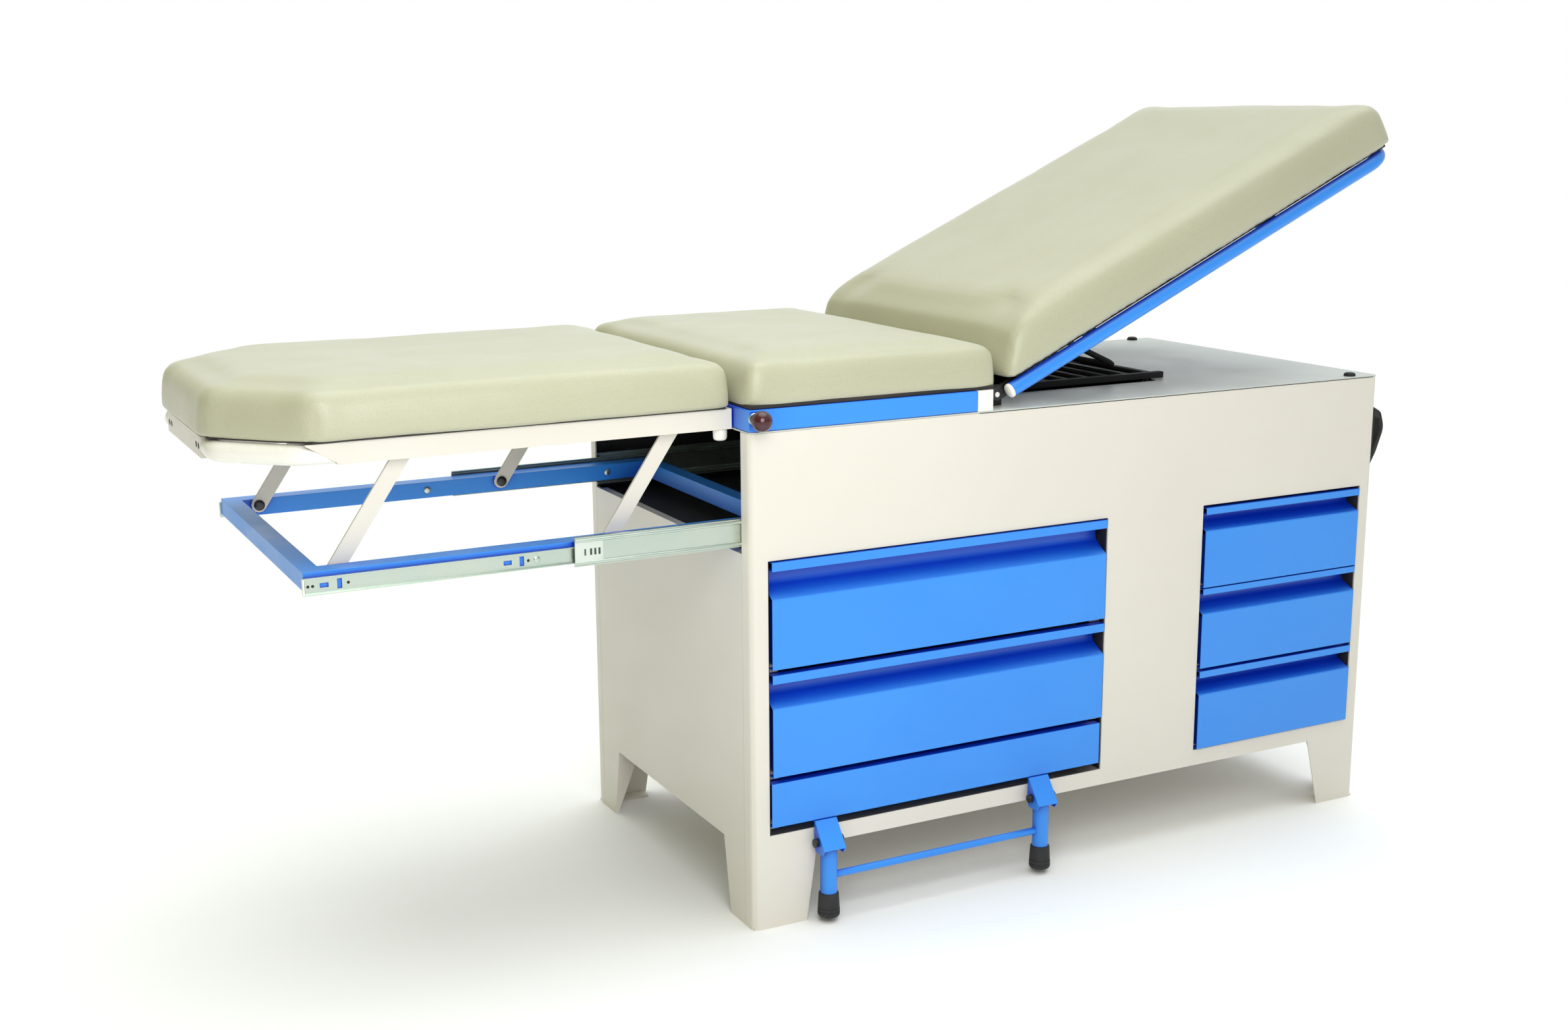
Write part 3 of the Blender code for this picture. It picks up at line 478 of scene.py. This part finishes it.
def vertex_places(mesh):
    places = np.zeros(len(mesh.vertices) * 3, np.float32)
    mesh.vertices.foreach_get("co", places)
    return places.reshape(-1, 3).astype(float)


def vertex_normals(mesh):
    normals = np.zeros(len(mesh.vertices) * 3, np.float32)
    mesh.vertex_normals.foreach_get("vector", normals)
    return normals.reshape(-1, 3).astype(float)


def evened(mesh, values, rounds):
    """Values of the vertices, averaged with their neighbours' a number of times."""
    ends = np.zeros(len(mesh.edges) * 2, np.int32)
    mesh.edges.foreach_get("vertices", ends)
    first, second = ends.reshape(-1, 2).T
    count = 1 + np.bincount(ends, minlength=len(values)).reshape(-1, 1)
    for _ in range(rounds):
        total = values.copy()
        np.add.at(total, first, values[second])
        np.add.at(total, second, values[first])
        values = total / count
    return values


def bake(thing):
    """Apply every modifier of a mesh object."""
    graph = bpy.context.evaluated_depsgraph_get()
    done = bpy.data.meshes.new_from_object(thing.evaluated_get(graph))
    thing.modifiers.clear()
    old, thing.data = thing.data, done
    bpy.data.meshes.remove(old)


def finish_pad(pad, body, node, shape):
    """Sculpt creases, subdivide once, and hand the pad to its body."""
    places = vertex_places(pad.data)
    pad.data.update()
    normals = vertex_normals(pad.data)
    for index, place in enumerate(places):
        place += normals[index] * shape(Vector(place) - SHIFT)
    pad.data.vertices.foreach_set("co", places.astype(np.float32).ravel())
    pad.data.materials.clear()
    pad.data.materials.append(LOOKS["vinyl"])
    pad.data.shade_smooth()
    smoother = pad.modifiers.new("smoother", "SUBSURF")
    smoother.levels = smoother.render_levels = 1
    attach(pad, body)
    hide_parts(node)


def groove(distance, width, depth):
    """Depth of a soft groove at a distance from its middle."""
    return -depth * math.exp(-(distance / width) ** 2)


def ripple(place, size, amount):
    return amount * noise.noise(place / size)


VOXEL = 0.007               # grid of the remeshed covers
FRAMES = 20                 # length of the cloth simulation
PIN = 0.003                 # height above the board that the cover is held down over
BACK_ANGLE = math.radians(24.65)
BACK_PIVOT = Vector((0.419, 0, 0.750))
ALONG_BACK = Vector((math.cos(BACK_ANGLE), 0, math.sin(BACK_ANGLE)))
OFF_BACK = Vector((-math.sin(BACK_ANGLE), 0, math.cos(BACK_ANGLE)))
BACK_TUBE_Y = 0.2895        # middle of the back rest's tube


def on_back(x, y, z):
    """A place given along the back rest, across it and off its tube."""
    return BACK_PIVOT + ALONG_BACK * x + OFF_BACK * z + Vector((0, y, 0)) + SHIFT


def flat_edge(edge):
    return abs(edge.verts[0].co.z - edge.verts[1].co.z) < 0.0001


def flat_pad(name, outline, low, top):
    """Level block with rounded corners and edges, swollen by cloth."""
    bm = prism(outline, (low, top), at)
    round_edges(bm, lambda edge: not flat_edge(edge), 0.016, 4)
    for level, radius, segments in ((top, 0.022, 6), (low, 0.004, 2)):
        round_edges(bm, lambda edge: flat_edge(edge) and edge.calc_face_angle(0) > 0.5
                    and abs(edge.verts[0].co.z - level) < 0.001, radius, segments)
    return inflate(name, bm, 0.0145, lambda place: place[2] < low + PIN)


def seat_pad():
    low, top, half, long = 0.7622, 0.8235, 0.2990, 0.4080
    outline = [(0.0015, -half), (long, -half), (long, half), (0.0015, half)]
    pad = flat_pad("seat_pad", outline, low, top)

    def shape(place):
        amount = ripple(place, 0.11, 0.0010) + ripple(place + Vector((3, 1, 7)), 0.035, 0.00035)
        for x in (0.010, 0.395):
            for y in (-0.290, 0.290):
                away = math.hypot(place.x - x, place.y - y)
                amount += groove(away, 0.02, 0.0008)
        return amount
    finish_pad(pad, "cabinet", "seat_cushion", shape)


def leg_pad():
    low, top = 0.7600, 0.8215
    half, shoulder, nose = 0.2630, -0.5805, 0.145
    head, foot = -0.0030, -0.6985
    outline = [(head, -half), (head, half), (shoulder, half), (foot, nose), (foot, -nose),
               (shoulder, -half)]
    pad = flat_pad("leg_pad", outline, low, top)

    def shape(place):
        amount = ripple(place + Vector((5, 2, 0)), 0.12, 0.0011)
        amount += ripple(place + Vector((1, 4, 2)), 0.035, 0.00035)
        for side in (-1, 1):
            corner = math.hypot(place.x + 0.580, place.y - side * half)
            if place.z < top + 0.004:
                amount += groove(corner, 0.006, 0.0022) * min(1, (top + 0.004 - place.z) / 0.012)
            dimple = math.hypot(corner, (place.z - (low + 0.030)) * 0.8)
            amount += groove(dimple, 0.012, 0.0016)
            front = math.hypot(place.x + 0.696, place.y - side * nose)
            amount += groove(front, 0.007, 0.0010)
        return amount
    finish_pad(pad, "leg_rest", "leg_cushion", shape)


def back_pad():
    low, top, end = 0.0145, 0.0860, 0.8265
    half = 0.2990
    outline = [(0.014, low), (0.024, 0.036), (0.038, 0.054), (0.053, 0.073), (0.074, top),
               (end, top), (end, low)]
    bm = prism(outline, (-half, half), lambda u, v, w: on_back(u, w, v))

    def local(vertex):
        away = vertex.co - SHIFT - BACK_PIVOT
        return away.dot(ALONG_BACK), away.y, away.dot(OFF_BACK)

    def is_top(edge):
        first, second = (local(vertex) for vertex in edge.verts)
        return min(first[2], second[2]) > top - 0.001 and edge.calc_face_angle(0) > 0.5

    def is_head_corner(edge):
        first, second = (local(vertex) for vertex in edge.verts)
        return (min(first[0], second[0]) > end - 0.001 and abs(first[1] - second[1]) < 0.001
                and abs(first[2] - second[2]) > 0.01)

    def is_lower_rim(edge):
        first, second = (local(vertex) for vertex in edge.verts)
        return (max(first[0], second[0]) < 0.090 and abs(first[1] - second[1]) < 0.0001
                and abs(first[1]) > half - 0.001 and max(first[2], second[2]) <= top + 0.0001
                and abs(first[2] - second[2]) > 0.001)

    round_edges(bm, is_head_corner, 0.024, 5)
    round_edges(bm, lambda edge: is_lower_rim(edge) or is_top(edge), 0.022, 6)
    pad = inflate("back_pad", bm, 0.0130,
                  lambda place: (Vector(place) - SHIFT - BACK_PIVOT).dot(OFF_BACK) < low + PIN)

    def shape(place):
        away = place - BACK_PIVOT
        along, across = away.dot(ALONG_BACK), away.y
        amount = ripple(place + Vector((2, 8, 3)), 0.13, 0.0012)
        amount += ripple(place, 0.035, 0.00035)
        for side in (-1, 1):
            corner = math.hypot(along - 0.812, across - side * 0.285)
            amount += groove(corner, 0.016, 0.0012)
        return amount
    finish_pad(pad, "back_rest", "back_cushion", shape)


seat_pad()
leg_pad()
back_pad()


# ---- round tubes and turned parts ---------------------------------------------------
def back_tubes():
    """The back rest's bent tube and its two cross tubes."""
    radius, half, start, end = 0.011, BACK_TUBE_Y, 0.0175, 0.817
    path = rounded_path([(start, -half, 0), (end, -half, 0.050), (end, half, 0.050),
                         (start, half, 0)], steps=12)
    bm = bmesh.new()
    pipe_into(bm, [on_back(x, y, 0) for x, y in path], radius)
    for x, thick in ((0.190, 0.0065), (0.560, 0.0095)):
        pipe_into(bm, [on_back(x, -half, 0), on_back(x, half, 0)], thick)
        for side in (-1, 1):            # weld beads where the cross tubes meet the loop
            bead = on_back(x, side * (half - radius + 0.001), 0)
            lathe_into(bm, bead, (0, -side, 0), [(-0.002, thick + 0.0032), (0, thick + 0.0030),
                                                 (0.002, thick + 0.0012), (0.003, thick - 0.001)])
    piece("back_tubes", bm, "blue_paint", "back_rest", stands_for=("back_frame",))


def leg_bows():
    """Fat white bows at the leg rest's foot end and the pegs under its head end."""
    for name, side in SIDES:
        path = rounded_path([(-0.5505, side * 0.2365, 0), (-0.593, side * 0.2365, 0.034),
                             (-0.6790, side * 0.1560, 0.029), (-0.6790, side * 0.1225, 0)], 8)
        bm = bmesh.new()
        pipe_into(bm, [at(x, y, 0.7435) for x, y in path], 0.0135, 28)
        piece(f"leg_bow_tube_{name}", bm, "off_white", "leg_rest",
              stands_for=(f"leg_bow_{name}",))
        bm = bmesh.new()
        lathe_into(bm, at(-0.0135, side * 0.236, 0.7297), (0, 0, -1),
                   [(0, 0.0090), (0.002, 0.0100), (0.0120, 0.0098), (0.0150, 0.0090),
                    (0.0165, 0.0070), (0.0167, 0.0040)])
        piece(f"leg_peg_cap_{name}", bm, "off_white", "leg_rest",
              stands_for=(f"leg_peg_{name}",))


def step_feet():
    """Ribbed rubber boots on the step's legs."""
    for name, x in (("left", 0.115), ("right", 0.489)):
        bm = bmesh.new()
        lathe_into(bm, at(x, -0.3145, 0.0080), (0, 0, 1),
                   [(0, 0.0130), (0.0010, 0.0152), (0.0030, 0.0163), (0.0070, 0.0165),
                    (0.0076, 0.0156), (0.0086, 0.0156), (0.0092, 0.0164), (0.0130, 0.0162),
                    (0.0136, 0.0153), (0.0146, 0.0153), (0.0152, 0.0160), (0.0300, 0.0152),
                    (0.0340, 0.0150), (0.0362, 0.0144), (0.0367, 0.0132)], 36)
        piece(f"step_boot_{name}", bm, "black_rubber", "step_leg",
              stands_for=(f"step_foot_{name}",))


def ferrules():
    """White plugs in the open ends of the back rest's tube."""
    for name, side in SIDES:
        bm = bmesh.new()
        lathe_into(bm, on_back(0.012, side * BACK_TUBE_Y, 0), ALONG_BACK,
                   [(0, 0.0084), (0.0010, 0.0099), (0.0026, 0.0108), (0.0040, 0.0110),
                    (0.0052, 0.0110)])
        piece(f"ferrule_cap_{name}", bm, "off_white", "back_rest",
              stands_for=(f"ferrule_{name}",))


def knob():
    """Ball knob of the sprung lock and the bush it slides in."""
    bm = bmesh.new()
    x, z, radius = 0.0075, 0.750, 0.0145
    profile = [(radius - radius * math.cos(math.radians(turn)),
                radius * math.sin(math.radians(turn))) for turn in range(12, 163, 10)]
    profile += [(0.0268, 0.0058), (0.0282, 0.0056), (0.0290, 0.0050)]
    lathe_into(bm, at(x, -0.3245 - radius, z), (0, 1, 0), profile, 36)
    piece("lock_ball", bm, "maroon_plastic", "lock_plunger", stands_for=("lock_knob",))
    bm = bmesh.new()
    lathe_into(bm, at(x, -0.3000, z), (0, -1, 0),
               [(0, 0.0085), (0.0022, 0.0085), (0.0030, 0.0078), (0.0034, 0.0044)], 24)
    piece("lock_bush", bm, "zinc_steel", "cabinet")


def bumper_caps():
    """Rubber buttons that the back rest lies on when it is flat."""
    for name, side in SIDES:
        bm = bmesh.new()
        lathe_into(bm, at(1.105, side * 0.285, 0.7313), (0, 0, 1),
                   [(0, 0.0095), (0.0016, 0.0096), (0.0034, 0.0090), (0.0048, 0.0072),
                    (0.0054, 0.0045), (0.0056, 0.0020)])
        piece(f"bumper_cap_{name}", bm, "black_rubber", "cabinet",
              stands_for=(f"bumper_{name}",))


back_tubes()
leg_bows()
step_feet()
ferrules()
knob()
bumper_caps()


# ---- fasteners and small fittings ---------------------------------------------------
def screw_heads(name, places, direction, radius, height, look, body):
    """A row of equal screw heads as one piece."""
    bm = bmesh.new()
    for place in places:
        fastener_into(bm, at(*place), direction, radius, height)
    piece(name, bm, look, body)


PIVOT_Y = 0.2228            # inner ends of the links' pivot bolts
SLIDE_Z = 0.5815            # middle height of the inner slide members
for side_name, side in SIDES:
    inward, outward = (0, -side, 0), (0, side, 0)
    # The carriage pivot heads get the darkened zinc: painted shade.
    screw_heads(f"carriage_pivot_heads_{side_name}",
                [(x, side * PIVOT_Y, 0.591) for x in (-0.556, -0.179)], inward,
                0.0080, 0.0034, SHADED_ZINC, "carriage")
    screw_heads(f"leg_pivot_heads_{side_name}",
                [(x, side * PIVOT_Y, 0.745) for x in (-0.452, -0.075)], inward,
                0.0078, 0.0034, "zinc_steel", "leg_rest")
    screw_heads(f"slide_screws_{side_name}",
                [(x, side * 0.2320, 0.587) for x in (-0.297, 0.004)], inward,
                0.0052, 0.0022, "zinc_steel", "carriage")
    screw_heads(f"inner_slide_screw_{side_name}", [(-0.297, side * 0.2638, SLIDE_Z)],
                outward, 0.0045, 0.0016, "zinc_steel", "carriage")
    # Dark discs: painted shade in the inner members' holes.
    screw_heads(f"inner_slide_holes_{side_name}",
                [(x, side * 0.2637, SLIDE_Z) for x in (-0.599, -0.593, -0.548, -0.309)],
                outward, 0.0020, 0.0003, SHADE_AND_JOINT_BLACK, "carriage")


def slide_fittings():
    """Slots, plastic ends and rolled races of the telescopic slides."""
    for name, side in SIDES:
        def band(label, x_low, x_high, y_near, y_far, z_low, z_high, look, body, edge=0.0006):
            y_low, y_high = y_range(side, y_near, y_far)
            return slab(f"{label}_{name}", (x_low, y_low, z_low), (x_high, y_high, z_high),
                        look, body, edge, slot="zinc_steel")
        band("inner_tab", -0.6064, -0.6040, 0.2628, 0.2690, 0.5714, 0.5920, "off_white",
             "carriage")
        # Dark slit: painted shade in the inner member's slot.
        band("inner_slit", -0.6036, -0.6026, 0.2634, 0.2640, 0.5740, 0.5895, SHADE_AND_JOINT_BLACK,
             "carriage", 0.0001)
        band("middle_end", -0.2462, -0.2060, 0.2706, 0.2722, 0.5700, 0.6020, SLIDE_PLASTIC,
             "slide_middles", 0.0007)
        for number, (x, wide) in enumerate(((-0.2330, 0.0022), (-0.2250, 0.0030),
                                           (-0.2190, 0.0030), (-0.2130, 0.0030))):
            band(f"middle_slot_{number}", x, x + wide, 0.2720, 0.2724, 0.5810, 0.5900,
                 SLOT_SHADE, "slide_middles", 0.0001)
        bm = bmesh.new()
        for z in (0.5706, 0.6014):
            pipe_into(bm, [at(x, side * 0.2706, z) for x in (-0.2455, 0.453)], 0.0028, 12)
        piece(f"middle_races_{name}", bm, "zinc_steel", "slide_middles")
        band("outer_stop", 0.0026, 0.0070, 0.2716, 0.2748, 0.5640, 0.6080, "black_rubber",
             "cabinet", 0.0008)


slide_fittings()


def nose_fittings():
    """Dark discs as painted shade in the leg rest's nose bar bolt holes, and the gussets beside its
    rails.
    """
    bm = bmesh.new()
    for y in (-0.108, -0.092, 0.092, 0.108):
        lathe_into(bm, at(-0.6920, y, 0.7445), (-1, 0, 0),
                   [(-0.0008, 0.0042), (0.0002, 0.0042)], 20)
    piece("nose_holes", bm, SHADE_AND_JOINT_BLACK, "leg_rest", slot="black_rubber")
    for name, side in SIDES:
        outline = [(-0.530, side * 0.2500), (-0.576, side * 0.2440), (-0.600, side * 0.2230),
                   (-0.594, side * 0.2170), (-0.568, side * 0.2290), (-0.530, side * 0.2300)]
        bm = prism(outline, (0.7572, 0.7583), at)
        piece(f"nose_gusset_{name}", bm, "cream_paint", "leg_rest", smooth_angle=20)


nose_fittings()


def bay_painted_shade():
    """Black sheets in the empty bay between the drawers and the deck: painted shade for the
    cabinet's dark inside.
    """
    bm = bmesh.new()
    slab_into(bm, (0.0160, -0.2975, 0.5500), (1.1500, 0.2975, 0.5515), 0.0003)
    for low, high in (((0.0120, -0.2980, 0.5510), (1.1420, -0.2974, 0.7285)),
                      ((0.0120, 0.2974, 0.5510), (1.1420, 0.2980, 0.7285)),
                      ((1.1510, -0.2880, 0.5510), (1.1517, 0.2880, 0.7285))):
        slab_into(bm, low, high, 0.0001)
    piece("bay_painted_shade", bm, "black_paint", "cabinet")


bay_painted_shade()


def deck_seam():
    """Dark joint under the deck's edge on the two long sides."""
    bm = bmesh.new()
    for _, side in SIDES:
        low, high = y_range(side, 0.2990, 0.3004)
        slab_into(bm, (0.3740, low, 0.7281), (1.1420, high, 0.7289), 0.0001)
    piece("deck_seam", bm, SHADE_AND_JOINT_BLACK, "cabinet", slot="black_rubber")


def hinge_gap_shade():
    """Near-black blocks over the ears of the back rest's hinges: painted shade in the dark gap
    between the seat and the back rest.
    """
    bm = bmesh.new()
    for _, side in SIDES:
        low, high = y_range(side, 0.2620, 0.2688)
        slab_into(bm, (0.3976, low, 0.7316), (0.4326, high, 0.7624), 0.0004)
    piece("hinge_gap_shade", bm, SHADE_AND_JOINT_BLACK, "cabinet", slot="black_rubber")


def rail_ends():
    """Slanted ends of the leg rest's side rails in front of the bows."""
    for name, side in SIDES:
        outline = [(-0.5470, 0.7312), (-0.5470, 0.7581), (-0.5900, 0.7581), (-0.5880, 0.7560)]
        bm = prism(outline, y_range(side, 0.2501, 0.2513), lambda u, v, w: at(u, w, v))
        piece(f"rail_end_{name}", bm, "cream_paint", "leg_rest", smooth_angle=20)


def bank_shades():
    """Black strips inside the upright edges of the two drawer openings: painted shade at the dark
    ends of the drawer recesses.
    """
    bm = bmesh.new()
    for x in (0.0274, 0.6098, 0.7984, 1.1256):
        slab_into(bm, (x, -0.2978, 0.143), (x + 0.0020, -0.2300, 0.5475), 0.0001)
    piece("bank_shades", bm, SHADE_AND_JOINT_BLACK, "cabinet", slot="black_rubber")


deck_seam()
bank_shades()
hinge_gap_shade()
rail_ends()


def handle_lug():
    """Painted lug behind the grip on the head end."""
    slab("handle_lug", (1.1540, -0.2880, 0.624), (1.1598, -0.2720, 0.650), "cream_paint",
         "cabinet", 0.0015)
    screw_heads("handle_screws", [(1.1543, -0.2800, z) for z in (0.588, 0.668)], (1, 0, 0),
                0.0060, 0.0030, "zinc_steel", "cabinet")


handle_lug()


# ---- floor, light and camera --------------------------------------------------------
def floor():
    """Pale floor that fades into the white surround away from the table."""
    bm = bmesh.new()
    corners = [bm.verts.new((x, y, 0)) for x, y in ((-60, -60), (60, -60), (60, 60), (-60, 60))]
    bm.faces.new(corners)
    mesh = bpy.data.meshes.new("floor")
    bm.to_mesh(mesh)
    bm.free()
    ground = bpy.data.objects.new("floor", mesh)
    bpy.context.scene.collection.objects.link(ground)
    made, nodes, links, shader = start_material("floor", Roughness=0.9)
    shader.inputs["Specular IOR Level"].default_value = 0.1
    shader.inputs["Base Color"].default_value = (0.93, 0.93, 0.93, 1)
    glow = nodes.new("ShaderNodeEmission")
    glow.inputs["Color"].default_value = (1, 1, 1, 1)
    blend = nodes.new("ShaderNodeMixShader")
    away = nodes.new("ShaderNodeVectorMath")
    away.operation = "LENGTH"
    links.new(coordinates(nodes), away.inputs[0])
    links.new(remap(nodes, links, away.outputs["Value"], 0, 1, 1.6, 6.0), blend.inputs["Fac"])
    links.new(shader.outputs["BSDF"], blend.inputs[1])
    links.new(glow.outputs["Emission"], blend.inputs[2])
    links.new(blend.outputs["Shader"], nodes["Material Output"].inputs["Surface"])
    mesh.materials.append(made)


def studio():
    """White surround, brightest overhead and behind the table, with a soft front light."""
    world = bpy.data.worlds.new("studio")
    bpy.context.scene.world = world
    world.use_nodes = True
    nodes, links = world.node_tree.nodes, world.node_tree.links
    direction = nodes.new("ShaderNodeTexCoord").outputs["Generated"]

    def towards(x, y, z):
        facing = nodes.new("ShaderNodeVectorMath")
        facing.operation = "DOT_PRODUCT"
        facing.inputs[1].default_value = Vector((x, y, z)).normalized()
        links.new(direction, facing.inputs[0])
        return facing.outputs["Value"]

    def plus(first, second):
        total = nodes.new("ShaderNodeMath")
        links.new(first, total.inputs[0])
        links.new(second, total.inputs[1])
        return total.outputs["Value"]

    above = remap(nodes, links, towards(0, 0, 1), 0.18, 0.85, 0, 1)
    behind = remap(nodes, links, towards(0.46, 0.89, 0), 0, 0.75, 0, 1)
    tint = blend_colours(nodes, links, remap(nodes, links, towards(1, 0, 0), 0, 1, -0.8, 0.1),
                         (1.0, 0.96, 0.36), (0.97, 1.0, 1.0))
    seen = nodes.new("ShaderNodeLightPath").outputs["Is Camera Ray"]
    foot_side = remap(nodes, links, towards(1, 0, 0), 0.45, 1.0, -0.8, 0.1)
    total = plus(above, behind)
    shaded = nodes.new("ShaderNodeMath")
    shaded.operation = "MULTIPLY"
    links.new(total, shaded.inputs[0])
    links.new(foot_side, shaded.inputs[1])
    brightness = nodes.new("ShaderNodeMix")
    links.new(seen, brightness.inputs["Factor"])
    links.new(shaded.outputs["Value"], brightness.inputs["A"])
    brightness.inputs["B"].default_value = 1.0
    background = nodes["Background"]
    links.new(blend_colours(nodes, links, seen, tint, (1.0, 1.0, 1.0)),
              background.inputs["Color"])
    links.new(brightness.outputs["Result"], background.inputs["Strength"])
    lamp("top", "SUN", (0.10, 0.05, 1.0), 1.50, angle=math.radians(60), color=(0.95, 1.0, 1.0))
    lamp("front", "AREA", (-0.35, -0.80, 0.48), 16.0, at(-0.45, -1.60, 1.34), size=1.1,
         shape="DISK")


def lamp(name, kind, towards, energy, place=(0, 0, 0), **settings):
    """A light that shines from a direction; its settings are set by name."""
    light = bpy.data.lights.new(name, kind)
    light.energy = energy
    for setting, value in settings.items():
        setattr(light, setting, value)
    holder = bpy.data.objects.new(name, light)
    holder.location = place
    holder.rotation_mode = "QUATERNION"
    holder.rotation_quaternion = Vector(towards).to_track_quat("Z", "Y")
    holder.visible_camera = False
    bpy.context.scene.collection.objects.link(holder)


def camera():
    """Camera at the photographed angle, fitted to the cabinet's straight edges."""
    yaw, pitch, roll = (math.radians(angle) for angle in (62.660, -12.287, -0.356))
    forward = Vector((math.cos(pitch) * math.cos(yaw), math.cos(pitch) * math.sin(yaw),
                      math.sin(pitch)))
    right = Vector((math.sin(yaw), -math.cos(yaw), 0))
    up = right.cross(forward)
    rolled_right = right * math.cos(roll) + up * math.sin(roll)
    rolled_up = up * math.cos(roll) - right * math.sin(roll)
    lens = bpy.data.cameras.new("camera")
    lens.lens, lens.sensor_width = 42.19, 36.0
    lens.clip_start, lens.clip_end = 0.05, 200
    holder = bpy.data.objects.new("camera", lens)
    turn = Matrix((rolled_right, rolled_up, -forward)).transposed()
    holder.matrix_world = Matrix.Translation(at(-1.0919, -2.5139, 1.1545)) @ turn.to_4x4()
    bpy.context.scene.collection.objects.link(holder)
    bpy.context.scene.camera = holder


floor()
studio()
camera()
bpy.context.scene.view_settings.view_transform = "Standard"
